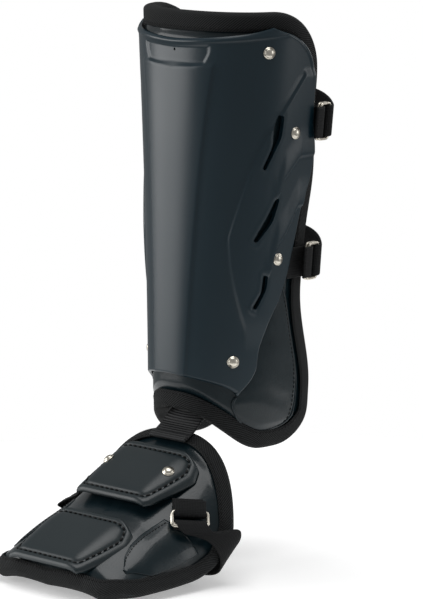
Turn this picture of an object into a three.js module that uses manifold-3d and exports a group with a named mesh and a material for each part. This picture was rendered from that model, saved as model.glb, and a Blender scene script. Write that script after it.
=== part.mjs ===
// Batter's leg guard with its hinged instep guard, in millimetres, +Z up.
// The origin is on the leg's axis at the middle of the shell's height, -Y is the shin side
// and +X the outer side of the leg.
import * as THREE from 'three';
import Module from 'manifold-3d';
import { mergeVertices } from 'three/addons/utils/BufferGeometryUtils.js';

// Leg that the guard is shaped round
const kneeHalfWidth = 77.5;
const ankleHalfWidth = 54;
const kneeFrontDepth = 61;
const ankleFrontDepth = 69;
const calfDepth = 130;
const sectionPower = 2.25;

// Hard shell
const shellHeight = 280;
const shellWall = 2.8;
const bandRaise = 1.2;
const bladeRaise = 1.2;
const creaseWidth = 4;
const rivetRadius = 4.8;
const rivetHeight = 2.6;
const rivetSeatGap = 0.6;

// Padded liner and its tape edge
const padAboveShell = 11.5;
const padBelowOrigin = 165.5;
const ankleWingDrop = 33.5;
const topCornerHeight = 54;
const bottomCornerHeight = 27;
const linerGap = 1.3;
const padThickness = 14;
const padEdgeDip = 1.7;
const tapeSlack = 1.2;
const tapeFold = 2.4;
const tapeWidth = 15;
const tapeWall = 1;
const wingPanelRise = 1.6;

// Calf straps, their rings and tabs
const strapWidth = 25;
const strapWall = 1.7;
const ringWire = 1.2;
const ringInnerWidth = 9;
const upperStrapHeight = 62;
const lowerStrapHeight = -50;
const strapTilt = 0.25;
const strapRearReach = 33;

// Instep guard
const webbingWidth = 40;
const webbingWall = 1.8;
const instepDrop = 183;
const instepLength = 152;
const instepFall = 90;
const instepHalfWidth = 82;
const instepSideDrop = 102;
const instepPadThickness = 11;
const instepTapeWidth = 13;
const plateLength = 66;
const plateHalfWidth = 50;
const plateWall = 3.2;
const plateLift = 3;
const plateFacetRaise = 1.6;
const sidePanelRise = 1.8;
const footStrapTurn = 22;

// Gap kept between pieces that touch
const gap = 0.3;

const wasm = await Module();
wasm.setup();

const materials = {
  shell: { color: 0x23272d, roughness: 0.38, metalness: 0 },
  pad: { color: 0x17191c, roughness: 0.45, metalness: 0 },
  tape: { color: 0x141517, roughness: 0.85, metalness: 0 },
  plate: { color: 0x1d2025, roughness: 0.4, metalness: 0 },
  strap: { color: 0x121315, roughness: 0.9, metalness: 0 },
  metal: { color: 0xb9bcc0, roughness: 0.25, metalness: 1 },
};

const guard = new THREE.Group();

function addPart(name, geometry, finish) {
  const mesh = new THREE.Mesh(geometry, new THREE.MeshStandardMaterial(materials[finish]));
  mesh.name = name;
  guard.add(mesh);
}

const radians = THREE.MathUtils.degToRad;
const clamp = THREE.MathUtils.clamp;
const lerp = THREE.MathUtils.lerp;
const smoothstep = THREE.MathUtils.smoothstep;

// Straight-line reading of a table whose rows run down or up in one column
function readTable(table, from, to, value) {
  const rows = [...table].sort((a, b) => a[from] - b[from]);
  let i = rows.findIndex((row) => row[from] > value);
  if (i === -1) i = rows.length - 1;
  i = Math.max(i, 1);
  const share = (value - rows[i - 1][from]) / (rows[i][from] - rows[i - 1][from]);
  return lerp(rows[i - 1][to], rows[i][to], clamp(share, 0, 1));
}

function triangleMesh(points, triangles) {
  const geometry = new THREE.BufferGeometry();
  geometry.setAttribute('position', new THREE.Float32BufferAttribute(points.flatMap((p) => [p.x, p.y, p.z]), 3));
  let volume = 0;
  for (const [a, b, c] of triangles) {
    volume += points[a].dot(new THREE.Vector3().crossVectors(points[b], points[c]));
  }
  geometry.setIndex(triangles.flatMap(([a, b, c]) => (volume > 0 ? [a, b, c] : [a, c, b])));
  geometry.computeVertexNormals();
  return geometry;
}

// Closed wall between two sheets of points laid out in the same rows
function wall(outer, inner) {
  const rows = outer.length;
  const columns = outer[0].length;
  const points = [...outer.flat(), ...inner.flat()];
  const at = (side, i, j) => side * rows * columns + i * columns + j;
  const triangles = [];
  const quad = (a, b, c, d) => triangles.push([a, b, c], [a, c, d]);
  for (let i = 0; i < rows - 1; i++) {
    for (let j = 0; j < columns - 1; j++) {
      quad(at(0, i, j), at(0, i, j + 1), at(0, i + 1, j + 1), at(0, i + 1, j));
      quad(at(1, i, j), at(1, i + 1, j), at(1, i + 1, j + 1), at(1, i, j + 1));
    }
  }
  for (let j = 0; j < columns - 1; j++) {
    quad(at(0, 0, j), at(1, 0, j), at(1, 0, j + 1), at(0, 0, j + 1));
    quad(at(0, rows - 1, j), at(0, rows - 1, j + 1), at(1, rows - 1, j + 1), at(1, rows - 1, j));
  }
  for (let i = 0; i < rows - 1; i++) {
    quad(at(0, i, 0), at(0, i + 1, 0), at(1, i + 1, 0), at(1, i, 0));
    quad(at(0, i, columns - 1), at(1, i, columns - 1), at(1, i + 1, columns - 1), at(0, i + 1, columns - 1));
  }
  return triangleMesh(points, triangles);
}

// Solid skinned through sections of equally many points, with flat ends or closed on itself
function loft(sections, closed) {
  const sides = sections[0].length;
  const count = sections.length;
  const points = sections.flat();
  const triangles = [];
  for (let i = 0; i < (closed ? count : count - 1); i++) {
    const next = (i + 1) % count;
    for (let k = 0; k < sides; k++) {
      const side = (k + 1) % sides;
      const [a, b] = [i * sides + k, i * sides + side];
      const [c, d] = [next * sides + side, next * sides + k];
      triangles.push([a, b, c], [a, c, d]);
    }
  }
  if (!closed) {
    const last = (count - 1) * sides;
    for (let k = 1; k < sides - 1; k++) {
      triangles.push([0, k + 1, k], [last, last + k, last + k + 1]);
    }
  }
  return triangleMesh(points, triangles);
}

// Flat band along a path, with its width along the across direction
function ribbon(path, across, width, thickness, closed = false) {
  const count = path.length;
  const sections = path.map((point, i) => {
    const before = path[closed ? (i + count - 1) % count : Math.max(i - 1, 0)];
    const after = path[closed ? (i + 1) % count : Math.min(i + 1, count - 1)];
    const along = after.clone().sub(before).normalize();
    const side = Array.isArray(across) ? across[i] : across;
    const normal = new THREE.Vector3().crossVectors(along, side).normalize();
    const corner = (w, t) => point.clone().addScaledVector(side, w * width / 2)
      .addScaledVector(normal, t * thickness / 2);
    return [corner(-1, -1), corner(1, -1), corner(1, 1), corner(-1, 1)];
  });
  return loft(sections, closed);
}

function toSolid(geometry) {
  const plain = new THREE.BufferGeometry();
  plain.setAttribute('position', geometry.getAttribute('position'));
  plain.setIndex(geometry.getIndex());
  const merged = mergeVertices(plain, 1e-4);
  return new wasm.Manifold(new wasm.Mesh({
    numProp: 3,
    vertProperties: new Float32Array(merged.getAttribute('position').array),
    triVerts: new Uint32Array(merged.getIndex().array),
  }));
}

function fromSolid(solid) {
  const { vertProperties, triVerts, numProp } = solid.getMesh();
  const geometry = new THREE.BufferGeometry();
  const positions = [];
  for (let i = 0; i < vertProperties.length; i += numProp) {
    positions.push(vertProperties[i], vertProperties[i + 1], vertProperties[i + 2]);
  }
  geometry.setAttribute('position', new THREE.Float32BufferAttribute(positions, 3));
  geometry.setIndex([...triVerts]);
  geometry.computeVertexNormals();
  return geometry;
}

// Leg section: a squared oval that narrows from the knee to the ankle
const padTop = shellHeight / 2 + padAboveShell;
const padBottom = -padBelowOrigin - ankleWingDrop;

function legRadius(angle, height) {
  const share = clamp((height - padBottom) / (padTop - padBottom), 0, 1);
  const halfWidth = lerp(ankleHalfWidth, kneeHalfWidth, share ** 1.35);
  const frontDepth = lerp(kneeFrontDepth, ankleFrontDepth, (1 - share) ** 1.3);
  const across = Math.abs(Math.sin(radians(angle)));
  const along = Math.cos(radians(angle));
  const depth = along > 0 ? frontDepth : calfDepth;
  const sum = (across / halfWidth) ** sectionPower + (Math.abs(along) / depth) ** sectionPower;
  return sum ** (-1 / sectionPower);
}

// Point on the leg guard at an angle from the shin, a height, and a distance outwards
function onLeg(angle, height, outwards) {
  const flat = (a) => {
    const radius = legRadius(a, height);
    return new THREE.Vector3(radius * Math.sin(radians(a)), -radius * Math.cos(radians(a)), height);
  };
  const tangent = flat(angle + 0.05).sub(flat(angle - 0.05));
  const normal = new THREE.Vector3(-tangent.y, tangent.x, 0).normalize().negate();
  return flat(angle).addScaledVector(normal, outwards);
}

const legNormal = (angle, height) => onLeg(angle, height, 1).sub(onLeg(angle, height, 0)).normalize();
const degreesPerMm = (angle, height) => 1 / onLeg(angle + 0.5, height, 0).distanceTo(onLeg(angle - 0.5, height, 0));

// Side edge of the shell, its heights as shares of shellHeight and angles from the shin
const shellSideRows = [
  { height: 0.499, angle: 69 },
  { height: 0.49, angle: 80 },
  { height: 0.473, angle: 89.6 },
  { height: 0.451, angle: 97.8 },
  { height: 0.423, angle: 103.7 },
  { height: 0.394, angle: 107 },
  { height: 0.356, angle: 108.9 },
  { height: 0.256, angle: 109.9 },
  { height: 0.17, angle: 112.5 },
  { height: 0.109, angle: 113.6 },
  { height: 0.056, angle: 111.3 },
  { height: 0.029, angle: 108.2 },
  { height: -0.035, angle: 104 },
  { height: -0.109, angle: 100.5 },
  { height: -0.204, angle: 95 },
  { height: -0.279, angle: 87.2 },
  { height: -0.33, angle: 78.5 },
  { height: -0.388, angle: 72.2 },
  { height: -0.419, angle: 69.3 },
  { height: -0.474, angle: 68.1 },
  { height: -0.509, angle: 62 },
  { height: -0.544, angle: 51.5 },
];
const shellSide = (height) => readTable(shellSideRows, 'height', 'angle', height / shellHeight);

// The rim rises to the sides and the lower edge falls to them
const shellTop = (share) => shellHeight * (0.464 + 0.035 * Math.abs(share) ** 1.5);
const shellBottom = (share) => -shellHeight * (0.485 + 0.059 * Math.abs(share) ** 1.7);

// Edge of the raised band down the shin, and leading edge of the raised side blades
const bandEdgeRows = [
  { height: 0.424, angle: 35.3 },
  { height: 0.264, angle: 28.8 },
  { height: 0.077, angle: 23.5 },
  { height: -0.099, angle: 19.8 },
  { height: -0.27, angle: 16.8 },
  { height: -0.54, angle: 13 },
];
const bladeEdgeRows = [
  { height: 0.43, angle: 104 },
  { height: 0.366, angle: 98.8 },
  { height: 0.262, angle: 80.2 },
  { height: 0.186, angle: 67.1 },
  { height: 0.122, angle: 60.6 },
  { height: 0.032, angle: 52.8 },
  { height: -0.09, angle: 43.4 },
  { height: -0.172, angle: 44.8 },
  { height: -0.238, angle: 47.6 },
  { height: -0.314, angle: 52.5 },
  { height: -0.354, angle: 55.9 },
];
const bandEdge = (height) => Math.min(
  readTable(bandEdgeRows, 'height', 'angle', height / shellHeight),
  0.4 * shellSide(height),
);
const bladeEdge = (height) => Math.min(
  readTable(bladeEdgeRows, 'height', 'angle', height / shellHeight),
  0.85 * shellSide(height),
);
const bandTop = 0.39 * shellHeight;

function shellRelief(angle, height) {
  const beside = Math.abs(angle);
  const bladeShare = smoothstep(beside, bladeEdge(height), bladeEdge(height) + creaseWidth);
  const bandShare = 1 - smoothstep(beside, bandEdge(height), bandEdge(height) + creaseWidth);
  const belowPanel = 1 - smoothstep(height, bandTop, bandTop + creaseWidth);
  return bladeRaise * bladeShare + bandRaise * bandShare * belowPanel;
}

// Slots between the blades: angle from the shin, height as a share of shellHeight
const slotOutlines = [
  [
    { angle: 78.7, height: 0.254 },
    { angle: 82.8, height: 0.25 },
    { angle: 81.4, height: 0.188 },
    { angle: 74.9, height: 0.139 },
    { angle: 70, height: 0.098 },
    { angle: 67.4, height: 0.104 },
    { angle: 74.5, height: 0.167 },
    { angle: 74.7, height: 0.218 },
  ],
  [
    { angle: 79.1, height: 0.018 },
    { angle: 82.8, height: 0.014 },
    { angle: 77.5, height: -0.051 },
    { angle: 64.9, height: -0.107 },
    { angle: 61.8, height: -0.1 },
    { angle: 73, height: -0.029 },
  ],
  [
    { angle: 70.6, height: -0.2 },
    { angle: 75.1, height: -0.205 },
    { angle: 73.7, height: -0.245 },
    { angle: 65.4, height: -0.299 },
    { angle: 62, height: -0.293 },
    { angle: 69.3, height: -0.249 },
  ],
];

// Head centres on the outer side, repeated on the inner side
const shellRivets = [
  { name: 'top', angle: 70.2, height: 0.43 },
  { name: 'upper', angle: 93.3, height: 0.198 },
  { name: 'middle', angle: 83.1, height: -0.159 },
  { name: 'lower', angle: 48.5, height: -0.445 },
];
const sides = [
  { name: 'outer', sign: 1 },
  { name: 'inner', sign: -1 },
];

function makeShell() {
  const spans = [
    { from: () => 0, to: bandEdge, steps: 3 },
    { from: bandEdge, to: (z) => bandEdge(z) + creaseWidth, steps: 1 },
    { from: (z) => bandEdge(z) + creaseWidth, to: bladeEdge, steps: 4 },
    { from: bladeEdge, to: (z) => Math.min(bladeEdge(z) + creaseWidth, 0.93 * shellSide(z)), steps: 1 },
    { from: (z) => Math.min(bladeEdge(z) + creaseWidth, 0.93 * shellSide(z)), to: shellSide, steps: 5 },
  ];
  const half = spans.flatMap(({ from, to, steps }) => Array.from({ length: steps },
    (_, k) => (height) => lerp(from(height), to(height), k / steps)));
  half.push(shellSide);
  const columns = [...half.slice(1).reverse().map((angle) => (height) => -angle(height)), ...half];
  const rowCount = 18;
  const outer = [];
  const inner = [];
  for (let i = 0; i <= rowCount; i++) {
    const even = i / rowCount;
    const share = 0.5 * even + 0.25 * (1 - Math.cos(Math.PI * even));
    const row = columns.map((angleAt) => {
      const across = (level) => angleAt(level * shellHeight) / shellSide(level * shellHeight);
      const height = lerp(shellBottom(across(-0.5)), shellTop(across(0.47)), share);
      return { angle: angleAt(height), height };
    });
    outer.push(row.map(({ angle, height }) => onLeg(angle, height, shellRelief(angle, height))));
    inner.push(row.map(({ angle, height }) => onLeg(angle, height, -shellWall)));
  }
  let solid = toSolid(wall(outer, inner));
  for (const outline of slotOutlines) {
    for (const { sign } of sides) {
      const ring = (outwards) => outline.map(
        ({ angle, height }) => onLeg(sign * angle, height * shellHeight, outwards),
      );
      solid = solid.subtract(toSolid(slotCutter(ring(-3 * shellWall), ring(3 * shellWall))));
    }
  }
  return fromSolid(solid);
}

// Prism between two copies of an outline, with both ends fanned from their middles
function slotCutter(low, high) {
  const count = low.length;
  const middle = (ring) => ring.reduce((sum, p) => sum.add(p), new THREE.Vector3()).divideScalar(count);
  const points = [...low, ...high, middle(low), middle(high)];
  const triangles = [];
  for (let k = 0; k < count; k++) {
    const next = (k + 1) % count;
    triangles.push([k, next, count + next], [k, count + next, count + k]);
    triangles.push([2 * count, next, k], [2 * count + 1, count + k, count + next]);
  }
  return triangleMesh(points, triangles);
}

addPart('shin_shell', makeShell(), 'shell');

function rivetHead(seat, normal, radius, height) {
  const profile = [
    new THREE.Vector2(0, 0),
    new THREE.Vector2(radius, 0),
    new THREE.Vector2(radius, 0.3 * height),
    new THREE.Vector2(0.72 * radius, 0.8 * height),
    new THREE.Vector2(0, height),
  ];
  const head = new THREE.LatheGeometry(profile, 8);
  head.applyQuaternion(new THREE.Quaternion().setFromUnitVectors(new THREE.Vector3(0, 1, 0), normal));
  head.translate(seat.x, seat.y, seat.z);
  return head;
}

for (const { name, angle, height } of shellRivets) {
  for (const side of sides) {
    const z = height * shellHeight;
    const seat = onLeg(side.sign * angle, z, shellRelief(angle, z) + rivetSeatGap);
    const head = rivetHead(seat, legNormal(side.sign * angle, z), rivetRadius, rivetHeight);
    addPart(`${name}_rivet_${side.name}`, head, 'metal');
  }
}

// Outline of the padded liner: half its angle at each height, and its ends along the height
const padSide = (height) => 117 + 4 * Math.exp(-(((height - 0.07 * shellHeight) / (0.125 * shellHeight)) ** 2))
  + 14.3 * smoothstep(-height, 0.25 * shellHeight, 0.55 * shellHeight);

function cornerFall(share, start, height) {
  const beyond = clamp((Math.abs(share) - start) / (1 - start), 0, 1);
  return height * (1 - Math.sqrt(1 - beyond * beyond));
}
const padTopEdge = (share) => padTop - cornerFall(share, 0.66, topCornerHeight);
const padBottomEdge = (share) => -padBelowOrigin - ankleWingDrop * smoothstep(Math.abs(share), 0.05, 0.6)
  + cornerFall(share, 0.74, bottomCornerHeight);

const padFace = -(shellWall + linerGap);
const padBack = padFace - padThickness;

// Distance of a place on the liner from its nearest edge
function fromPadEdge(angle, height) {
  const share = clamp(Math.abs(angle) / padSide(height), 0, 1);
  const sideways = (padSide(height) - Math.abs(angle)) / degreesPerMm(angle, height);
  return Math.min(sideways, padTopEdge(share) - height, height - padBottomEdge(share));
}
const padDip = (angle, height) => (padEdgeDip + tapeSlack)
  * (1 - smoothstep(fromPadEdge(angle, height), tapeWidth + 2, tapeWidth + 8));
const onPad = (angle, height, above) => onLeg(angle, height, padFace - padDip(angle, height) + above);

const tapeReach = tapeWall + tapeSlack;

function makePad() {
  const rowCount = 16;
  const columnCount = 22;
  const outer = [];
  const inner = [];
  for (let i = 0; i <= rowCount; i++) {
    const even = i / rowCount;
    const up = 0.5 * even + 0.25 * (1 - Math.cos(Math.PI * even));
    const row = [];
    for (let j = 0; j <= columnCount; j++) {
      const share = 2 * j / columnCount - 1;
      const low = padBottomEdge(share) + tapeReach;
      const high = padTopEdge(share) - tapeReach;
      const height = lerp(low, high, up);
      const reach = padSide(height) - tapeReach * degreesPerMm(padSide(height), height);
      row.push({ angle: share * reach, height });
    }
    outer.push(row.map(({ angle, height }) => onPad(angle, height, 0)));
    inner.push(row.map(({ angle, height }) => onLeg(angle, height, padBack + padDip(angle, height))));
  }
  return wall(outer, inner);
}

// Stations along a closed outline of four sides, evenly spaced on each side with its corners kept
function stations(outlineSides, place, spacing) {
  const fine = 60;
  return outlineSides.flatMap((side) => {
    const spots = Array.from({ length: fine + 1 }, (_, k) => place(side(k / fine)));
    const travelled = [0];
    for (let k = 1; k <= fine; k++) travelled.push(travelled[k - 1] + spots[k].distanceTo(spots[k - 1]));
    const count = Math.max(2, Math.round(travelled[fine] / spacing));
    return Array.from({ length: count }, (_, i) => {
      const target = travelled[fine] * i / count;
      const k = Math.max(1, travelled.findIndex((distance) => distance >= target));
      const share = (target - travelled[k - 1]) / (travelled[k] - travelled[k - 1]);
      return side((k - 1 + share) / fine);
    });
  });
}

const padOutlineSides = [
  (t) => ({ angle: (2 * t - 1) * padSide(padBottomEdge(2 * t - 1)), height: padBottomEdge(2 * t - 1) }),
  (t) => ({ angle: padSide(lerp(padBottomEdge(1), padTopEdge(1), t)), height: lerp(padBottomEdge(1), padTopEdge(1), t) }),
  (t) => ({ angle: (1 - 2 * t) * padSide(padTopEdge(1 - 2 * t)), height: padTopEdge(1 - 2 * t) }),
  (t) => ({ angle: -padSide(lerp(padTopEdge(1), padBottomEdge(1), t)), height: lerp(padTopEdge(1), padBottomEdge(1), t) }),
];

// Tape folded over the liner's edge: a channel whose two flaps follow its faces
function padTapeChannel(slack) {
  const outline = stations(padOutlineSides, ({ angle, height }) => onLeg(angle, height, 0), 17);
  const count = outline.length;
  const sections = outline.map(({ angle, height }, i) => {
    const before = outline[(i + count - 1) % count];
    const after = outline[(i + 1) % count];
    const alongMm = (after.angle - before.angle) / degreesPerMm(angle, height);
    const upMm = after.height - before.height;
    const length = Math.hypot(alongMm, upMm);
    const inwards = { angle: -upMm / length * degreesPerMm(angle, height), height: alongMm / length };
    const place = (depth, outwards) => onLeg(
      angle + inwards.angle * depth, height + inwards.height * depth, outwards,
    );
    const face = padFace - padEdgeDip;
    const back = padBack + padEdgeDip;
    const full = gap + tapeWall;
    const within = gap - slack;
    return [
      place(tapeWidth + slack, face + within), place(tapeWidth + slack, face + full),
      place(tapeFold, face + full), place(0, face + full - tapeFold),
      place(0, back - full + tapeFold), place(tapeFold, back - full),
      place(tapeWidth + slack, back - full), place(tapeWidth + slack, back - within),
      place(tapeWall + slack, back - within), place(tapeWall + slack, face + within),
    ];
  });
  return loft(sections, true);
}

// What a tape holds is trimmed to keep the gap inside it
function trimmed(geometry, channel) {
  const left = toSolid(geometry).subtract(toSolid(channel(gap))).decompose();
  return fromSolid(left.reduce((a, b) => (a.volume() > b.volume() ? a : b)));
}

addPart('shin_pad', trimmed(makePad(), padTapeChannel), 'pad');
addPart('shin_pad_tape', padTapeChannel(0), 'tape');

// Puffed panel on the outer ankle wing, from the shell's edge to its seam
const wingSeamRows = [
  { height: -0.245, angle: 94 },
  { height: -0.323, angle: 100.9 },
  { height: -0.401, angle: 107.4 },
  { height: -0.471, angle: 112.7 },
  { height: -0.528, angle: 115.7 },
  { height: -0.591, angle: 114.6 },
  { height: -0.64, angle: 108.1 },
  { height: -0.664, angle: 98 },
];
const wingStartRows = [
  { height: -0.55, angle: 52 },
  { height: -0.591, angle: 51.5 },
  { height: -0.62, angle: 60 },
  { height: -0.638, angle: 70 },
];

function makeWingPanel(sign) {
  const rowCount = 8;
  const columnCount = 6;
  const outer = [];
  const inner = [];
  for (let i = 0; i <= rowCount; i++) {
    const height = lerp(-0.245, -0.638, i / rowCount) * shellHeight;
    const besideShell = height / shellHeight > -0.544 ? shellSide(height) + 2 : 0;
    const start = Math.max(besideShell, readTable(wingStartRows, 'height', 'angle', height / shellHeight));
    const tapeStart = padSide(height) - (tapeWidth + 3) * degreesPerMm(padSide(height), height);
    const end = Math.min(readTable(wingSeamRows, 'height', 'angle', height / shellHeight), tapeStart);
    const crown = Math.sin(Math.PI * clamp(i / rowCount, 0.08, 0.92));
    const row = Array.from({ length: columnCount + 1 }, (_, j) => j / columnCount);
    outer.push(row.map((share) => {
      const rise = tapeSlack + wingPanelRise * Math.sqrt(crown * Math.sin(Math.PI * clamp(share, 0.02, 0.98)));
      return onPad(sign * lerp(start, end, share), height, rise);
    }));
    inner.push(row.map((share) => onPad(sign * lerp(start, end, share), height, 0.9 * tapeSlack)));
  }
  return wall(outer, inner);
}

for (const side of sides) addPart(`ankle_wing_panel_${side.name}`, makeWingPanel(side.sign), 'pad');

// Rectangular wire ring: its long bars lie along the long direction
function wireRing(centre, long, short, innerLong, innerShort) {
  const normal = new THREE.Vector3().crossVectors(long, short).normalize();
  const halfLong = innerLong / 2 + ringWire;
  const halfShort = innerShort / 2 + ringWire;
  const bend = 2 * ringWire;
  const corners = [[1, 1, 0], [-1, 1, 90], [-1, -1, 180], [1, -1, 270]];
  const sections = corners.flatMap(([shortSign, longSign, start]) => [0, 45, 90].map((turn) => {
    const angle = radians(start + turn);
    const out = short.clone().multiplyScalar(Math.cos(angle)).addScaledVector(long, Math.sin(angle));
    const spot = centre.clone().addScaledVector(short, shortSign * (halfShort - bend))
      .addScaledVector(long, longSign * (halfLong - bend)).addScaledVector(out, bend);
    return Array.from({ length: 6 }, (_, k) => {
      const around = radians(60 * k);
      return spot.clone().addScaledVector(out, ringWire * Math.cos(around))
        .addScaledVector(normal, ringWire * Math.sin(around));
    });
  }));
  return loft(sections, true);
}

const ringStack = 2 * ringWire + gap;
const foldRadius = ringStack / 2 + ringWire + 2 * gap + strapWall / 2;

// U-turn of a strap round a pair of ring bars, from one face to the other
function foldRound(bar, along, normal, steps = 6) {
  return Array.from({ length: steps + 1 }, (_, k) => {
    const angle = radians(-90 + 180 * k / steps);
    return bar.clone().addScaledVector(along, foldRadius * Math.cos(angle))
      .addScaledVector(normal, foldRadius * Math.sin(angle));
  });
}

// One calf strap with its pair of rings on the outer side and its tab under the shell's edge
function addCalfStrap(name, height) {
  const standOff = padFace + gap + strapWall / 2;
  const tabAngles = (from, to, steps, sign) => Array.from({ length: steps + 1 },
    (_, k) => onLeg(sign * lerp(from, to, k / steps), height, standOff));
  const halfStrap = strapWidth / 2;
  const lean = (angle) => onLeg(angle, height + halfStrap, 0).sub(onLeg(angle, height - halfStrap, 0)).normalize();
  const shellEnd = Math.max(...[-1, 0, 1].map((side) => shellSide(height + side * halfStrap))) + 1.5;
  const padEnd = padSide(height);
  const barAngle = padEnd - 3.5;
  const seat = onLeg(barAngle, height, standOff);
  const normal = legNormal(barAngle, height);
  const along = new THREE.Vector3(-normal.y, normal.x, 0);
  const nearBar = seat.clone().addScaledVector(normal, foldRadius);
  const back = nearBar.clone().addScaledVector(normal, foldRadius);
  const tabReturn = [4, 8].map((d) => back.clone().addScaledVector(along, -d));
  const upright = lean(barAngle);
  const tab = [...tabAngles(shellEnd, barAngle, 3, 1).slice(0, -1), ...foldRound(nearBar, along, normal), ...tabReturn];
  addPart(`${name}_tab`, ribbon(tab, upright, strapWidth, strapWall), 'strap');

  const flare = new THREE.Vector3(-0.1, 1, 0).normalize();
  const flareNormal = new THREE.Vector3(flare.y, -flare.x, 0);
  const barSpacing = ringInnerWidth + 2 * ringWire;
  const middle = nearBar.clone().addScaledVector(flare, barSpacing / 2);
  for (const [label, shift] of [['outer', 0.5], ['inner', -0.5]]) {
    const centre = middle.clone().addScaledVector(flareNormal, shift * ringStack);
    const ring = wireRing(centre, upright, flare, strapWidth + 1, ringInnerWidth);
    addPart(`${name}_ring_${label}`, ring, 'metal');
  }

  const farBar = nearBar.clone().addScaledVector(flare, barSpacing);
  const fold = foldRound(farBar, flare.clone().negate(), flareNormal.clone().negate());
  const outside = fold[0];
  const inside = fold[fold.length - 1].clone().addScaledVector(flare, 9);
  const turns = 15;
  const loop = Array.from({ length: turns + 1 }, (_, k) => {
    const across = Math.cos(Math.PI * (k + 0.5) / (turns + 1));
    const y = outside.y + 1 + strapRearReach * (1 - across * across);
    return new THREE.Vector3(outside.x * across, y, height + strapTilt * (y - outside.y));
  });
  const innerEnd = tabAngles(shellEnd, padEnd - 2, 4, -1).reverse();
  const path = [inside, ...fold.slice().reverse(), ...loop, ...innerEnd];
  const innerUpright = lean(-padEnd);
  const across = path.map((point) => {
    const share = clamp(0.5 + 0.5 * point.x / outside.x, 0, 1);
    return innerUpright.clone().lerp(upright, share).normalize();
  });
  addPart(`${name}_strap`, ribbon(path, across, strapWidth, strapWall), 'strap');
}

addCalfStrap('upper', upperStrapHeight);
addCalfStrap('lower', lowerStrapHeight);

// Instep guard: sections from the ankle to the toes, each from its ridge to its side edge.
// Reaches are shares of instepLength ahead of the ankle end, falls of instepFall below it,
// widths of instepHalfWidth, and side falls of instepSideDrop.
const ankleEndY = -54;
const instepRows = [
  { along: 0, reach: 0, fall: 0, bendWidth: 0.78, sideWidth: 1, sideReach: 0.14, sideFall: 0.66 },
  { along: 0.17, reach: 0.17, fall: 0.19, bendWidth: 0.8, sideWidth: 1, sideReach: 0.24, sideFall: 0.89 },
  { along: 0.33, reach: 0.34, fall: 0.38, bendWidth: 0.78, sideWidth: 0.99, sideReach: 0.38, sideFall: 0.98 },
  { along: 0.5, reach: 0.5, fall: 0.555, bendWidth: 0.76, sideWidth: 0.975, sideReach: 0.54, sideFall: 1 },
  { along: 0.67, reach: 0.665, fall: 0.68, bendWidth: 0.75, sideWidth: 0.95, sideReach: 0.68, sideFall: 1.01 },
  { along: 0.8, reach: 0.83, fall: 0.83, bendWidth: 0.73, sideWidth: 0.93, sideReach: 0.8, sideFall: 1.01 },
  { along: 0.9, reach: 0.96, fall: 0.95, bendWidth: 0.7, sideWidth: 0.9, sideReach: 0.9, sideFall: 1.01 },
  { along: 1, reach: 1, fall: 1.13, bendWidth: 0.66, sideWidth: 0.86, sideReach: 1, sideFall: 1.02 },
];

// The toe end's corners are rounded off
const instepEnd = (across) => 1 - cornerFall(across, 0.6, 0.26);

// Point on the instep pad's face, across from -1 to 1 and along from ankle to toes
function instepPoint(across, along) {
  const read = (column) => readTable(instepRows, 'along', column, along);
  const ridge = new THREE.Vector3(0, ankleEndY - instepLength * read('reach'), -instepDrop - instepFall * read('fall'));
  const edge = new THREE.Vector3(
    instepHalfWidth * read('sideWidth'),
    ankleEndY - instepLength * read('sideReach'),
    -instepDrop - instepSideDrop * read('sideFall'),
  );
  const bend = new THREE.Vector3(instepHalfWidth * read('bendWidth'), ridge.y, ridge.z + 4);
  const t = Math.abs(across);
  const point = ridge.multiplyScalar((1 - t) ** 2).addScaledVector(bend, 2 * t * (1 - t)).addScaledVector(edge, t * t);
  point.x *= Math.sign(across);
  return point;
}

function instepNormal(across, along) {
  const step = 0.02;
  const a = instepPoint(clamp(across - step, -1, 1), along);
  const b = instepPoint(clamp(across + step, -1, 1), along);
  const c = instepPoint(across, clamp(along - step, 0, 1));
  const d = instepPoint(across, clamp(along + step, 0, 1));
  return new THREE.Vector3().crossVectors(d.sub(c), b.sub(a)).normalize();
}
const onInstep = (across, along, above) => instepPoint(across, along)
  .addScaledVector(instepNormal(across, along), above);

const sideInset = tapeReach / instepHalfWidth;
const endInset = tapeReach / instepLength;

// The pad is pressed in under its tape
function instepDip(across, along) {
  const fromEnds = Math.min(along, instepEnd(across) - along) * instepLength;
  const fromEdge = Math.min((1 - Math.abs(across)) * 1.4 * instepHalfWidth, fromEnds);
  return tapeSlack * (1 - smoothstep(fromEdge, instepTapeWidth + 3, instepTapeWidth + 9));
}

function makeInstepPad() {
  const rowCount = 12;
  const columnCount = 14;
  const outer = [];
  const inner = [];
  for (let i = 0; i <= rowCount; i++) {
    const row = Array.from({ length: columnCount + 1 }, (_, j) => {
      const across = (1 - sideInset) * (2 * j / columnCount - 1);
      return { across, along: lerp(endInset, instepEnd(across) - endInset, i / rowCount) };
    });
    outer.push(row.map(({ across, along }) => onInstep(across, along, -instepDip(across, along))));
    inner.push(row.map(({ across, along }) => onInstep(across, along, instepDip(across, along) - instepPadThickness)));
  }
  return wall(outer, inner);
}

const instepOutlineSides = [
  (t) => ({ across: 2 * t - 1, along: 0 }),
  (t) => ({ across: 1, along: t * instepEnd(1) }),
  (t) => ({ across: 1 - 2 * t, along: instepEnd(1 - 2 * t) }),
  (t) => ({ across: -1, along: (1 - t) * instepEnd(1) }),
];

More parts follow.
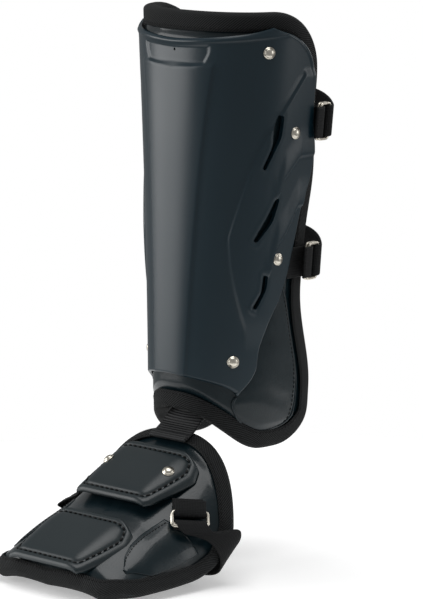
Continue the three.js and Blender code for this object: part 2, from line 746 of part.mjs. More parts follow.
function instepTapeChannel(slack) {
  const outline = stations(instepOutlineSides, ({ across, along }) => instepPoint(across, along), 15);
  const count = outline.length;
  const sections = outline.map((spot, i) => {
    const before = outline[(i + count - 1) % count];
    const after = outline[(i + 1) % count];
    const here = instepPoint(spot.across, spot.along);
    const normal = instepNormal(spot.across, spot.along);
    const tangent = instepPoint(after.across, after.along).sub(instepPoint(before.across, before.along)).normalize();
    const inwards = new THREE.Vector3().crossVectors(normal, tangent).normalize();
    if (inwards.dot(instepPoint(0, 0.5).sub(here)) < 0) inwards.negate();
    const onFace = (depth, above) => {
      const target = here.clone().addScaledVector(inwards, depth);
      const { across, along } = nearestOnInstep(target, spot);
      return onInstep(across, along, above);
    };
    const full = gap + tapeWall;
    const within = gap - slack;
    const back = -instepPadThickness;
    const edge = (above) => here.clone().addScaledVector(normal, above);
    const inset = (above) => edge(above).addScaledVector(inwards, tapeWall + slack);
    return [
      onFace(instepTapeWidth + slack, within), onFace(instepTapeWidth + slack, full),
      onFace(tapeFold, full), edge(full - tapeFold),
      edge(back - full + tapeFold), onFace(tapeFold, back - full),
      onFace(instepTapeWidth + slack, back - full), onFace(instepTapeWidth + slack, back - within),
      inset(back - within), inset(within),
    ];
  });
  return loft(sections, true);
}

// Place on the instep face closest to a target, by shrinking steps from a first guess
function nearestOnInstep(target, guess) {
  let best = { across: guess.across, along: guess.along };
  let distance = instepPoint(best.across, best.along).distanceTo(target);
  for (let step = 0.16; step > 0.002; step /= 2) {
    for (let moved = true; moved;) {
      moved = false;
      for (const [da, dl] of [[step, 0], [-step, 0], [0, step], [0, -step]]) {
        const trial = { across: clamp(best.across + da, -1, 1), along: clamp(best.along + dl, 0, 1) };
        const far = instepPoint(trial.across, trial.along).distanceTo(target);
        if (far < distance - 1e-6) {
          best = trial;
          distance = far;
          moved = true;
        }
      }
    }
  }
  return best;
}

addPart('instep_pad', trimmed(makeInstepPad(), instepTapeChannel), 'pad');
addPart('instep_pad_tape', instepTapeChannel(0), 'tape');

// Flat strap from the back of the liner down onto the ankle end of the instep pad
const sewnDepth = 15;

function makeWebbing() {
  const behindPad = (height) => onLeg(0, height, padBack - tapeSlack - webbingWall / 2);
  const overInstep = gap + tapeWall + 2 * gap + webbingWall / 2;
  const bow = 6.5;
  const spine = [
    { point: behindPad(-padBelowOrigin + sewnDepth), bow },
    { point: behindPad(-padBelowOrigin + 0.5 * sewnDepth), bow },
    { point: behindPad(-padBelowOrigin - 4), bow },
    { point: onInstep(0, 0, overInstep + 7).add(new THREE.Vector3(0, 6.5, 0)), bow: 0.5 * bow },
    { point: onInstep(0, 0, overInstep + 1).add(new THREE.Vector3(0, 2, 0)), bow: 0 },
    { point: onInstep(0, 0.05, overInstep), bow: 0 },
    { point: onInstep(0, 0.09, overInstep), bow: 0 },
  ];
  const columnCount = 6;
  const sheet = (side) => spine.map(({ point, bow: curve }, i) => {
    const before = spine[Math.max(i - 1, 0)].point;
    const after = spine[Math.min(i + 1, spine.length - 1)].point;
    const along = after.clone().sub(before).normalize();
    const normal = new THREE.Vector3(1, 0, 0).cross(along);
    return Array.from({ length: columnCount + 1 }, (_, j) => {
      const across = 2 * j / columnCount - 1;
      return point.clone().add(new THREE.Vector3(across * webbingWidth / 2, curve * across * across, 0))
        .addScaledVector(normal, side * webbingWall / 2);
    });
  });
  return wall(sheet(1), sheet(-1));
}

addPart('ankle_webbing', makeWebbing(), 'strap');

// Hard plates over the instep: widths as shares of plateHalfWidth along each plate
const plates = [
  { name: 'upper', rear: 0.13, front: 0.48 },
  { name: 'lower', rear: 0.6, front: 0.9 },
];
const plateRows = [
  { share: 0, width: 0.5, facet: 0 },
  { share: 0.07, width: 0.78, facet: 0 },
  { share: 0.14, width: 0.93, facet: 1 },
  { share: 0.3, width: 1, facet: 1 },
  { share: 0.6, width: 0.93, facet: 1 },
  { share: 0.87, width: 0.84, facet: 1 },
  { share: 0.93, width: 0.82, facet: 0 },
  { share: 1, width: 0.76, facet: 0 },
];
const plateColumns = [
  { across: 0, facet: 1 },
  { across: 0.3, facet: 1 },
  { across: 0.55, facet: 1 },
  { across: 0.78, facet: 1 },
  { across: 0.86, facet: 0 },
  { across: 1, facet: 0 },
];
const plateSideDrop = 12;
const plateFlatShare = 0.54;

function plateFrame({ rear, front }) {
  const start = onInstep(0, rear, gap + plateWall);
  const end = onInstep(0, front, gap + 2 * plateLift + plateWall);
  const along = end.clone().sub(start).normalize();
  const normal = new THREE.Vector3(1, 0, 0).cross(along);
  return { start, along, normal: normal.z > 0 ? normal : normal.negate() };
}

// Place on a plate: its share along, its share of the half width there, and a height above
function onPlate(frame, share, across, above) {
  const x = across * plateHalfWidth * readTable(plateRows, 'share', 'width', share);
  const beyond = Math.max(0, Math.abs(x) / plateHalfWidth - plateFlatShare) / (1 - plateFlatShare);
  return frame.start.clone().addScaledVector(frame.along, share * plateLength)
    .addScaledVector(frame.normal, above - plateSideDrop * beyond * beyond)
    .add(new THREE.Vector3(x, 0, 0));
}

function makePlate(plate, padSpace) {
  const frame = plateFrame(plate);
  const columns = [...plateColumns.slice(1).reverse().map((c) => ({ ...c, across: -c.across })), ...plateColumns];
  const top = plateRows.map(({ share, facet }) => columns.map((column) => onPlate(
    frame, share, column.across, plateFacetRaise * facet * column.facet,
  )));
  const under = plateRows.map(({ share }) => columns.map(({ across }) => onPlate(frame, share, across, -plateWall)));
  return fromSolid(toSolid(wall(top, under)).subtract(padSpace));
}

// Space that the instep pad and its tape fill, which the plates are trimmed to
function instepSpace() {
  const rowCount = 12;
  const columnCount = 14;
  const sheet = (above) => Array.from({ length: rowCount + 1 }, (_, i) => Array.from(
    { length: columnCount + 1 }, (__, j) => onInstep(2 * j / columnCount - 1, i / rowCount, above),
  ));
  return toSolid(wall(sheet(2 * gap), sheet(-instepPadThickness)));
}

const padSpace = instepSpace();
for (const plate of plates) addPart(`instep_plate_${plate.name}`, makePlate(plate, padSpace), 'plate');

// Rivet at each side of the upper plate
for (const side of sides) {
  const frame = plateFrame(plates[0]);
  const seat = onPlate(frame, 0.42, side.sign * 0.7, plateFacetRaise);
  const beside = onPlate(frame, 0.42, side.sign * 0.76, plateFacetRaise).sub(seat);
  const normal = frame.along.clone().cross(beside).normalize();
  if (normal.z < 0) normal.negate();
  const head = rivetHead(seat.addScaledVector(normal, rivetSeatGap), normal, rivetRadius, rivetHeight);
  addPart(`plate_rivet_${side.name}`, head, 'metal');
}

// Puffed side panels of the instep pad, from their seam to the tape
const sidePanelRows = [
  { along: 0.45, from: 0.49 },
  { along: 0.52, from: 0.48 },
  { along: 0.6, from: 0.49 },
  { along: 0.68, from: 0.52 },
  { along: 0.74, from: 0.58 },
  { along: 0.77, from: 0.68 },
];
const sidePanelEnd = 0.8;

function makeSidePanel(sign) {
  const columnCount = 5;
  const sheet = (rise) => sidePanelRows.map(({ along, from }, i) => Array.from(
    { length: columnCount + 1 }, (_, j) => {
      const crown = Math.sin(Math.PI * (i + 0.3) / (sidePanelRows.length - 0.4)) * Math.sin(Math.PI * j / columnCount);
      return onInstep(sign * lerp(from, sidePanelEnd, j / columnCount), along, gap + rise * (0.35 + 0.65 * crown));
    },
  ));
  return wall(sheet(sidePanelRise), sheet(0));
}

for (const side of sides) addPart(`instep_side_panel_${side.name}`, makeSidePanel(side.sign), 'pad');

// Foot strap: a tab and a pair of rings on the outer side, and the band under the foot
function addFootStrap() {
  const seatAt = { across: 0.6, along: 0.31 };
  const standOff = 2 * gap + strapWall / 2 + tapeSlack;
  const seat = onInstep(seatAt.across, seatAt.along, standOff);
  const normal = instepNormal(seatAt.across, seatAt.along);
  const downwards = onInstep(seatAt.across + 0.05, seatAt.along, standOff).sub(seat).normalize();
  downwards.applyAxisAngle(normal, radians(-footStrapTurn));
  const lengthwise = normal.clone().cross(downwards).normalize();
  const beside = (distance, above) => {
    const { across, along } = nearestOnInstep(seat.clone().addScaledVector(downwards, distance), seatAt);
    return onInstep(across, along, above);
  };
  const nearBar = seat.clone().addScaledVector(normal, foldRadius);
  const back = nearBar.clone().addScaledVector(normal, foldRadius);
  const tab = [
    ...[-15, -8].map((distance) => beside(distance, standOff)),
    ...foldRound(nearBar, downwards, normal),
    ...[4, 8].map((d) => back.clone().addScaledVector(downwards, -d)),
  ];
  addPart('foot_tab', ribbon(tab, lengthwise, strapWidth, strapWall), 'strap');

  const barSpacing = ringInnerWidth + 2 * ringWire;
  const middle = nearBar.clone().addScaledVector(downwards, barSpacing / 2);
  for (const [label, shift] of [['outer', 0.5], ['inner', -0.5]]) {
    const centre = middle.clone().addScaledVector(normal, shift * ringStack);
    addPart(`foot_ring_${label}`, wireRing(centre, lengthwise, downwards, strapWidth + 1, ringInnerWidth), 'metal');
  }

  const farBar = nearBar.clone().addScaledVector(downwards, barSpacing);
  const fold = foldRound(farBar, downwards.clone().negate(), normal);
  const away = fold[fold.length - 1].clone().addScaledVector(downwards, 8);
  const crossing = instepPoint(1, 0.09);
  const soleZ = -instepDrop - instepSideDrop;
  const turn = (x, y, z) => crossing.clone().add(new THREE.Vector3(x, y, z));
  const lower = new THREE.CatmullRomCurve3([
    away,
    turn(5.2, -2, 13),
    turn(5.4, 0.4, -4),
    turn(1.5, 1.5, -9.5),
    turn(-6, 1.5, -12),
    turn(-18, 1, -14),
    new THREE.Vector3(0.4 * instepHalfWidth, crossing.y, lerp(crossing.z, soleZ, 0.6)),
  ]).getPoints(8).slice(1);
  const inside = fold[0].clone().addScaledVector(downwards, 3);
  const mirror = (point) => point.clone().multiply(new THREE.Vector3(-1, 1, 1));
  const innerEnd = [0.76, 0.68, 0.6].map((across) => onInstep(-across, 0.2, standOff + 2 * tapeWall));
  const path = [inside, ...fold, away, ...lower, ...lower.slice().reverse().map(mirror), ...innerEnd];
  const flat = new THREE.Vector3(0, -0.62, -0.78).normalize();
  const facing = (direction) => (direction.dot(flat) > 0 ? direction.clone() : direction.clone().negate());
  const across = path.map((_, i) => {
    const outerShare = clamp(1 - (i - fold.length - 1) / 5, 0, 1);
    const innerShare = clamp((i - (path.length - 5)) / 3, 0, 1);
    return flat.clone().lerp(facing(lengthwise), outerShare)
      .lerp(facing(mirror(lengthwise)), innerShare).normalize();
  });
  addPart('foot_strap', ribbon(path, across, strapWidth, strapWall), 'strap');
}

addFootStrap();

export default guard;
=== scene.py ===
import math

import bmesh
import bpy
import numpy as np
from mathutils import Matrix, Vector


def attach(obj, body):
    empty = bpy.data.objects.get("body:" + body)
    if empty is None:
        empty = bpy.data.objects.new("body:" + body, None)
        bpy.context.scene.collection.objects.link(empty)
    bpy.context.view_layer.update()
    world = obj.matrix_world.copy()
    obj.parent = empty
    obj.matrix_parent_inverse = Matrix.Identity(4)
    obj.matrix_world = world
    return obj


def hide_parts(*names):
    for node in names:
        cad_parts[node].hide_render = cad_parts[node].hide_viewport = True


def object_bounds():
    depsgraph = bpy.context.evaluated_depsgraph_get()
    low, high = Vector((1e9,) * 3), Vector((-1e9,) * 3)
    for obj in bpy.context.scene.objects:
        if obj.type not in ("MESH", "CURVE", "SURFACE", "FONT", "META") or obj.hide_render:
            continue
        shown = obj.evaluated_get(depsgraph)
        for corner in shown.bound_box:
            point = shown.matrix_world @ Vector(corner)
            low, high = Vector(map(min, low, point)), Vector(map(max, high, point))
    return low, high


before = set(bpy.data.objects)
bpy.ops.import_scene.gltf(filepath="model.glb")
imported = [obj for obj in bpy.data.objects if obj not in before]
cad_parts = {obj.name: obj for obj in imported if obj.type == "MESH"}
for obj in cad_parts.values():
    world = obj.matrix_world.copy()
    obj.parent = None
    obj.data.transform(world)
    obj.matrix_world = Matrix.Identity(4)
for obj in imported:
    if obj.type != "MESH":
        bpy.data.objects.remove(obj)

cad_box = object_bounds()

# Camera of a shop picture: a long lens three metres away, 45 degrees round from the shin to the
# outer side and just above the middle of the guard.
camera_eye = Vector((2.0927, -2.1113, 0.4125))
camera_target = Vector((0.000446, -0.019114, -0.08265))
lens = bpy.data.cameras.new("camera")
lens.sensor_fit = "VERTICAL"
lens.sensor_height = 24
lens.lens = 150.25
camera = bpy.data.objects.new("camera", lens)
camera.location = camera_eye
camera.rotation_mode = "QUATERNION"
camera.rotation_quaternion = (camera_target - camera_eye).to_track_quat("-Z", "Y")
bpy.context.scene.collection.objects.link(camera)
bpy.context.scene.camera = camera

# Pale studio floor and soft lights: a tall softbox low on the shin side, which the front band
# mirrors, a wide one overhead, and weaker ones on the calf side. The white backdrop gives the
# object itself only a dim fill, as a dark studio does.
bpy.context.scene.view_settings.view_transform = "Standard"
dim_fill = 0.28
world = bpy.data.worlds.new("studio")
world.use_nodes = True
studio_nodes, studio_links = world.node_tree.nodes, world.node_tree.links
backdrop = studio_nodes["Background"]
backdrop.inputs["Color"].default_value = (1, 1, 1, 1)
seen_or_fill = studio_nodes.new("ShaderNodeMapRange")
seen_or_fill.inputs["To Min"].default_value = dim_fill
light_path = studio_nodes.new("ShaderNodeLightPath")
studio_links.new(light_path.outputs["Is Camera Ray"], seen_or_fill.inputs["Value"])
studio_links.new(seen_or_fill.outputs[0], backdrop.inputs["Strength"])
bpy.context.scene.world = world


def softbox(name, place, aim, width, height, power):
    """A rectangular area light at a place in m, turned to its aim, with its power in W."""
    light = bpy.data.lights.new(name, "AREA")
    light.shape = "RECTANGLE"
    light.size, light.size_y, light.energy = width, height, power
    box = bpy.data.objects.new(name, light)
    box.location = place
    box.rotation_mode = "QUATERNION"
    box.rotation_quaternion = (Vector(aim) - Vector(place)).to_track_quat("-Z", "Y")
    bpy.context.scene.collection.objects.link(box)


softbox("shin_softbox", (-1.8, -1.58, 0.35), (0, 0, -0.02), 1.9, 1.7, 34)
softbox("top_softbox", (0.1, -0.1, 2.7), (0, 0, -0.1), 2.2, 2.0, 48)
softbox("side_softbox", (1.9, 1.5, 0.35), (0, 0, -0.05), 0.8, 1.3, 8)
softbox("rear_strip", (0.2, 2.2, 0.7), (0, 0, 0), 0.5, 1.4, 8)

floor_radius, floor_sides = 0.48, 96
floor_height = cad_box[0].z - 0.001
floor_rim = [(floor_radius * math.cos(t), floor_radius * math.sin(t), floor_height)
             for t in np.linspace(0, 2 * math.pi, floor_sides + 1)[:-1]]
floor_mesh = bpy.data.meshes.new("studio_floor")
floor_mesh.from_pydata(floor_rim, [], [tuple(range(floor_sides))])
studio_floor = bpy.data.objects.new("studio_floor", floor_mesh)
bpy.context.scene.collection.objects.link(studio_floor)
paper = bpy.data.materials.new("studio_paper")
paper.use_nodes = True
paper_look = {"Base Color": (0.93, 0.93, 0.93, 1), "Roughness": 0.9, "Specular IOR Level": 0.1,
              "Emission Color": (1, 1, 1, 1), "Emission Strength": 0.32}
for socket, value in paper_look.items():
    paper.node_tree.nodes["Principled BSDF"].inputs[socket].default_value = value
floor_mesh.materials.append(paper)

# Hard shell: one injection-moulded piece of blue-black plastic in a squared oval section. It has
# a raised band down the shin, a bare recessed panel under its rim, and side blades that overlap
# like fins, with three slots between them. All places are angles from the shin and heights in mm.
shell_height = 280
shell_wall = 2.8
ankle_arch, wing_drop = -165.5, 33.5
pad_top = shell_height / 2 + 11.5
pad_low = ankle_arch - wing_drop
ankle_half_width, knee_half_width = 54, 77.5
ankle_front, knee_front, calf_depth = 69, 61, 130
section_power = 2.25
shell_mm_per_degree = 1.25


def leg_radius(angle, height):
    """Distance in mm from the leg's axis to the shell's plain outer face."""
    share = np.clip((height - pad_low) / (pad_top - pad_low), 0, 1)
    half_width = ankle_half_width + (knee_half_width - ankle_half_width) * share ** 1.35
    front = knee_front + (ankle_front - knee_front) * (1 - share) ** 1.3
    across, along = np.abs(np.sin(np.radians(angle))), np.cos(np.radians(angle))
    depth = np.where(along > 0, front, calf_depth)
    total = (across / half_width) ** section_power + (np.abs(along) / depth) ** section_power
    return total ** (-1 / section_power)


def on_leg(angle, height, outwards):
    """Points in mm that stand some way outwards of the shell's plain outer face."""
    angle, height, outwards = np.broadcast_arrays(*(np.asarray(v, float) for v in (angle, height, outwards)))

    def flat(at):
        radius = leg_radius(at, height)
        return np.stack([radius * np.sin(np.radians(at)), -radius * np.cos(np.radians(at)), height], -1)

    tangent = flat(angle + 0.05) - flat(angle - 0.05)
    normal = np.stack([tangent[..., 1], -tangent[..., 0], np.zeros_like(angle)], -1)
    normal /= np.linalg.norm(normal, axis=-1, keepdims=True)
    return flat(angle) + normal * outwards[..., None]


def leg_normal(angle, height):
    return on_leg(angle, height, 1) - on_leg(angle, height, 0)


def degrees_per_mm(angle, height):
    one_degree = on_leg(angle + 0.5, height, 0) - on_leg(angle - 0.5, height, 0)
    return 1 / np.linalg.norm(one_degree, axis=-1)


def ramp(value, low, high):
    """A smooth step from 0 at the low value to 1 at the high one."""
    share = np.clip((value - low) / (high - low), 0, 1)
    return share * share * (3 - 2 * share)


def eased(rows, value, blur):
    """Reads a table of (place, value) rows with its corners rounded over a length."""
    places, values = np.array(sorted(rows)).T
    shifts = np.linspace(-blur, blur, 9)
    return np.mean([np.interp(np.asarray(value, float) + shift, places, values) for shift in shifts], axis=0)


# Edges are rows of (height, angle), and slots and rivets are places of (angle, height)
shell_side_rows = [
    (139.7, 69), (137.2, 80), (132.4, 89.6), (126.3, 97.8), (118.4, 103.7), (110.3, 107), (99.7, 108.9),
    (71.7, 109.9), (47.6, 112.5), (30.5, 113.6), (15.7, 111.3), (8.1, 108.2), (-9.8, 104), (-30.5, 100.5),
    (-57.1, 95), (-78.1, 87.2), (-92.4, 78.5), (-108.6, 72.2), (-117.3, 69.3), (-132.7, 68.1),
    (-142.5, 62), (-152.3, 51.5),
]
band_edge_rows = [(118.7, 35.3), (73.9, 28.8), (21.6, 23.5), (-27.7, 19.8), (-75.6, 16.8), (-151, 13)]
blade_edge_rows = [
    (120.4, 104), (102.5, 98.8), (73.4, 80.2), (52.1, 67.1), (34.2, 60.6), (9, 52.8), (-25.2, 43.4),
    (-48.2, 44.8), (-66.6, 47.6), (-87.9, 52.5), (-99.1, 55.9),
]
fin_rows = {
    "middle": [(36.7, 99), (20.3, 85.3), (4.8, 80)],
    "lower": [(-3, 100.3), (-22, 90.7), (-33.1, 82), (-57, 75.5)],
}
slot_outlines = [
    [(78.7, 71.1), (82.8, 70), (81.4, 52.6), (74.9, 38.9), (70, 27.4), (67.4, 29.1), (74.5, 46.8),
     (74.7, 61)],
    [(79.1, 5), (82.8, 3.9), (77.5, -14.3), (64.9, -30), (61.8, -28), (73, -8.1)],
    [(70.6, -56), (75.1, -57.4), (73.7, -68.6), (65.4, -83.7), (62, -82), (69.3, -69.7)],
]
recess_foot_rows = [(0, 108.2), (19, 109.4), (27.2, 111.6), (31, 119), (34, 126)]
hole_angle, hole_height = 0.5, 121.3
crease = 2.8
band_raise, blade_raise, fin_raise, lip_raise, rim_bead = 1.4, 1.7, 1.5, 0.45, 0.9
blade_fall, slot_dish, recess_depth = 0.7, 0.35, 1.1
# Heights, angles or distances between which a shape begins and is whole
blade_foot, blade_head, band_head, bead_foot = (-118, -84), (99, 107), (109, 113), (84, 112)
fin_step, fin_fade, recess_side = (-1.5, 0.2), (1, 20), (30, 33)
lip_middle, lip_width, bead_middle, bead_width = 2.6, 1.4, 2.2, 1.6


def shell_top(share):
    return shell_height * (0.464 + 0.035 * np.abs(share) ** 1.5)


def shell_bottom(share):
    return -shell_height * (0.485 + 0.059 * np.abs(share) ** 1.7)


def shell_side(height):
    return eased(shell_side_rows, height, 4)


def band_edge(height):
    return eased(band_edge_rows, height, 12)


def blade_edge(height):
    return np.minimum(eased(blade_edge_rows, height, 5), 0.9 * shell_side(height))


def slot_distance(beside, height, outline):
    """Distance in mm from a slot's outline along the shell."""
    spots = np.stack([beside * shell_mm_per_degree, height], -1)
    corners = np.array(outline) * (shell_mm_per_degree, 1)
    near = np.full(beside.shape, 1e9)
    for start, end in zip(corners, np.roll(corners, -1, axis=0)):
        edge = end - start
        share = np.clip(((spots - start) @ edge) / (edge @ edge), 0, 1)
        near = np.minimum(near, np.linalg.norm(spots - start - share[..., None] * edge, axis=-1))
    return near


def shell_relief(angle, height):
    """Height in mm of the shell's moulded shapes over its plain outer face."""
    beside = np.abs(angle)
    blade = ramp(beside, blade_edge(height), blade_edge(height) + crease)
    blade = blade * ramp(height, *blade_foot) * (1 - ramp(height, *blade_head))
    band = 1 - ramp(beside, band_edge(height), band_edge(height) + crease)
    fall = ramp(beside, blade_edge(height) + 8, blade_edge(height) + 45)
    relief = (blade_raise - blade_fall * fall) * blade + band_raise * band * (1 - ramp(height, *band_head))
    # Upper edges of the middle and lower fins, each tucked under the fin above it
    for rows in fin_rows.values():
        heights, angles = np.array(sorted(rows, key=lambda row: row[1])).T
        above = (height - np.interp(beside, angles, heights)) * 0.8
        along = ramp(beside, angles.min() - 6, angles.min() + 2)
        relief += fin_raise * along * ramp(above, *fin_step) * (1 - ramp(above, *fin_fade))
    # Lip along the lower left side of each slot, and the dished edge on its right
    for outline in slot_outlines:
        near = slot_distance(beside, height, outline)
        middle = np.mean(np.array(outline), axis=0)
        left = ramp(middle[0] + (height - middle[1]) * 0.24 - beside, -1, 2)
        relief += lip_raise * left * np.exp(-(((near - lip_middle) / lip_width) ** 2))
        relief -= slot_dish * (1 - ramp(near, 0, lip_middle))
    # Recessed panel under the rim, and the bead round the shell's upper edge
    recess_foot = np.interp(beside, *np.array(recess_foot_rows).T)
    rim = shell_top(beside / 104)
    recess = ramp(height, recess_foot - 1.6, recess_foot + 1.6) * (1 - ramp(beside, *recess_side))
    relief -= recess_depth * recess * (1 - ramp(height, rim - 7, rim - 4.5))
    from_rim = np.minimum(rim - height, (shell_side(height) - beside) * shell_mm_per_degree)
    bead = np.exp(-(((from_rim - bead_middle) / bead_width) ** 2))
    return relief + rim_bead * bead * ramp(height, *bead_foot)


def solid(name, spots, faces, uv=None):
    """Closed mesh of points in mm, with its faces turned outwards, as an object of the scene."""
    mesh = bpy.data.meshes.new(name)
    mesh.from_pydata((spots.reshape(-1, 3) / 1000).tolist(), [], faces)
    if uv is not None:
        layer = mesh.uv_layers.new(name="cloth_run")
        layer.data.foreach_set("uv", np.ascontiguousarray(uv, dtype=np.float32).ravel())
    form = bmesh.new()
    form.from_mesh(mesh)
    bmesh.ops.recalc_face_normals(form, faces=form.faces)
    form.to_mesh(mesh)
    form.free()
    piece = bpy.data.objects.new(name, mesh)
    bpy.context.scene.collection.objects.link(piece)
    return piece


def skin(name, rings, wrap=False):
    """Closed mesh through equal rings of points in mm, with its run and girth in mm as its UV map."""
    rows, around = rings.shape[:2]
    spans = rows if wrap else rows - 1
    i, k = np.arange(spans)[:, None], np.arange(around)[None, :]
    faces = np.stack(np.broadcast_arrays(
        i * around + k, i * around + (k + 1) % around,
        (i + 1) % rows * around + (k + 1) % around, (i + 1) % rows * around + k), -1).reshape(-1, 4)
    steps_along = np.linalg.norm(np.roll(rings, -1, axis=0)[:spans] - rings[:spans], axis=-1)
    steps_round = np.linalg.norm(np.roll(rings, -1, axis=1) - rings, axis=-1)
    run = np.concatenate([[0], np.cumsum(steps_along.mean(axis=1))])
    girth = np.concatenate([[0], np.cumsum(steps_round.mean(axis=0))])
    uv = np.stack(np.broadcast_arrays(
        np.stack([run[i], run[i], run[i + 1], run[i + 1]], -1),
        np.stack([girth[k], girth[k + 1], girth[k + 1], girth[k]], -1)), -1).reshape(-1, 2)
    if not wrap:
        k = np.arange(around // 2 - 1)
        for row in (0, rows - 1):
            corners = np.stack([k, k + 1, around - 2 - k, around - 1 - k], -1)
            faces = np.concatenate([faces, row * around + (corners if row else corners[:, ::-1])])
            ends = np.stack([np.full(corners.shape, run[row]), girth[corners]], -1)
            uv = np.concatenate([uv, (ends if row else ends[:, ::-1]).reshape(-1, 2)])
    piece = solid(name, rings, faces.tolist(), uv)
    piece.data.shade_smooth()
    return piece


def slab(name, outer, inner):
    """Closed sheet between the points of its outer face and those of its inner face."""
    return skin(name, np.concatenate([outer, inner[:, ::-1]], axis=1))


class Wire:
    """An output socket of a material, so that sums written on it add its Math nodes."""

    def __init__(self, paint, socket):
        self.paint, self.socket = paint, socket

    def maths(self, operation, *values):
        return self.paint.add("ShaderNodeMath", {"operation": operation}, *values)

    def __add__(self, other):
        return self.maths("ADD", self, other)

    def __mul__(self, other):
        return self.maths("MULTIPLY", self, other)

    __radd__, __rmul__ = __add__, __mul__

    def wave(self, pitch):
        """Ribs from 0 to 1, one to each pitch in mm."""
        return self.maths("SINE", self * (2 * math.pi / pitch)) * 0.5 + 0.5


class Paint:
    """A material under construction round its Principled shader."""

    def __init__(self, name, **fixed):
        self.material = bpy.data.materials.new(name)
        self.material.use_nodes = True
        self.tree = self.material.node_tree
        self.shader = self.tree.nodes["Principled BSDF"]
        for socket, value in fixed.items():
            self.shader.inputs[socket.replace("_", " ")].default_value = value

    def plug(self, socket, value):
        if isinstance(value, Wire):
            self.tree.links.new(value.socket, socket)
        else:
            socket.default_value = value

    def add(self, kind, settings, *values, out=0, **named):
        node = self.tree.nodes.new(kind)
        for key, value in settings.items():
            setattr(node, key, value)
        for socket, value in zip(node.inputs, values):
            self.plug(socket, value)
        for key, value in named.items():
            self.plug(node.inputs[key], value)
        return Wire(self, node.outputs[out])

    def feed(self, name, wire):
        self.tree.links.new(wire.socket, self.shader.inputs[name])

    def dress(self, share, dark, light, roughness, height, depth, strength):
        """Colours the surface between a dark and a light tone, and embosses it to a depth in m."""
        self.feed("Base Color", self.tint(share, dark, light))
        self.feed("Roughness", roughness)
        self.feed("Normal", self.add("ShaderNodeBump", {}, Strength=strength, Distance=depth, Height=height))

    def place(self):
        return self.add("ShaderNodeTexCoord", {}, out="Object")

    def run_and_girth(self):
        parts = self.add("ShaderNodeSeparateXYZ", {}, self.add("ShaderNodeUVMap", {"uv_map": "cloth_run"}))
        return parts, Wire(self, parts.socket.node.outputs[1])

    def noise(self, scale, detail=3, roughness=0.55):
        return self.add("ShaderNodeTexNoise", {}, Vector=self.place(), Scale=scale, Detail=detail,
                        Roughness=roughness)

    def tint(self, share, dark, light):
        """A colour between a dark and a light one."""
        mixed = self.add("ShaderNodeMix", {"data_type": "RGBA"}, out=2)
        node = mixed.socket.node
        self.plug(node.inputs[0], share)
        node.inputs[6].default_value, node.inputs[7].default_value = (*dark, 1), (*light, 1)
        return mixed


def finish(piece, paint, nodes=()):
    """Gives a piece its one material and slot, and puts it in place of its CAD nodes."""
    piece.data.materials.clear()
    piece.data.materials.append(paint.material)
    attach(piece, "root")
    if nodes:
        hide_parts(*nodes)


def closer_at_ends(count):
    """Shares from 0 to 1 in steps that shorten towards both ends."""
    even = np.linspace(0, 1, count)
    return 0.5 * even + 0.25 * (1 - np.cos(np.pi * even))


def blade_crest(height):
    return np.minimum(blade_edge(height) + crease, 0.95 * shell_side(height))


# Lines that the shell's columns follow from the shin to its side edge, so that each crease lies
# on a column, and the number of columns between each line and the next
fold_lines = [
    lambda height: 0 * height, band_edge, lambda height: band_edge(height) + crease, blade_edge,
    blade_crest, lambda height: shell_side(height) - 2.5, shell_side,
]
columns_between = [30, 5, 11, 5, 43, 4]
half_shares = [(line, step / steps) for line, steps in enumerate(columns_between) for step in range(steps)]
half_shares.append((len(columns_between) - 1, 1))
upwards = closer_at_ends(206)


def shell_column(column):
    """Angles and heights up one column of the shell, counted from the shin."""
    line, share = half_shares[abs(column)]

    def read_angle(height):
        return fold_lines[line](height) * (1 - share) + fold_lines[line + 1](height) * share

    foot, brow = -0.5 * shell_height, 0.47 * shell_height
    low = shell_bottom(read_angle(foot) / shell_side(foot))
    high = shell_top(read_angle(brow) / shell_side(brow))
    rise = low + (high - low) * upwards
    return read_angle(rise) * (1 if column > 0 else -1), rise


shell_columns = range(1 - len(half_shares), len(half_shares))
outer_angle, heights = np.array([shell_column(column) for column in shell_columns]).transpose(1, 2, 0)
from_side = (shell_side(heights) - np.abs(outer_angle)) * shell_mm_per_degree
from_end = np.minimum(upwards, 1 - upwards)[:, None] * shell_height
edge_radius = 1.5
near_side, near_end = (np.clip(1 - gone / edge_radius, 0, 1) ** 2 for gone in (from_side, from_end))
rounding = 0.9 * (near_side + near_end)
outside = on_leg(outer_angle, heights, shell_relief(outer_angle, heights) - np.minimum(rounding, 1.2))
shin_shell = slab("shell", outside, on_leg(outer_angle, heights, -shell_wall))

hole = [(hole_angle + 1.05 * math.cos(t), hole_height + 1.2 * math.sin(t))
        for t in np.linspace(0, 2 * math.pi, 13)[:-1]]
openings = [(outline, side) for outline in slot_outlines for side in (1, -1)] + [(hole, 1)]
cutters = []
for number, (outline, side) in enumerate(openings):
    corners = np.array(outline, float)
    for trim in (0.14, 0.25):
        ahead = np.roll(corners, -1, axis=0)
        corners = np.stack([(1 - trim) * corners + trim * ahead, trim * corners + (1 - trim) * ahead], 1)
        corners = corners.reshape(-1, 2)
    rings = np.stack([on_leg(side * corners[:, 0], corners[:, 1], out) for out in (-9, 9)])
    count = len(corners)
    faces = [(k, (k + 1) % count, count + (k + 1) % count, count + k) for k in range(count)]
    faces += [tuple(range(count)), tuple(range(2 * count - 1, count - 1, -1))]
    cutter = solid(f"opening_cutter_{number}", rings, faces)
    cutters.append(cutter)
    cut = shin_shell.modifiers.new("opening", "BOOLEAN")
    cut.operation, cut.solver, cut.object = "DIFFERENCE", "EXACT", cutter


def settle(piece):
    """Turns a piece's modifiers into plain mesh."""
    evaluated = piece.evaluated_get(bpy.context.evaluated_depsgraph_get())
    mesh = bpy.data.meshes.new_from_object(evaluated)
    piece.modifiers.clear()
    piece.data = mesh


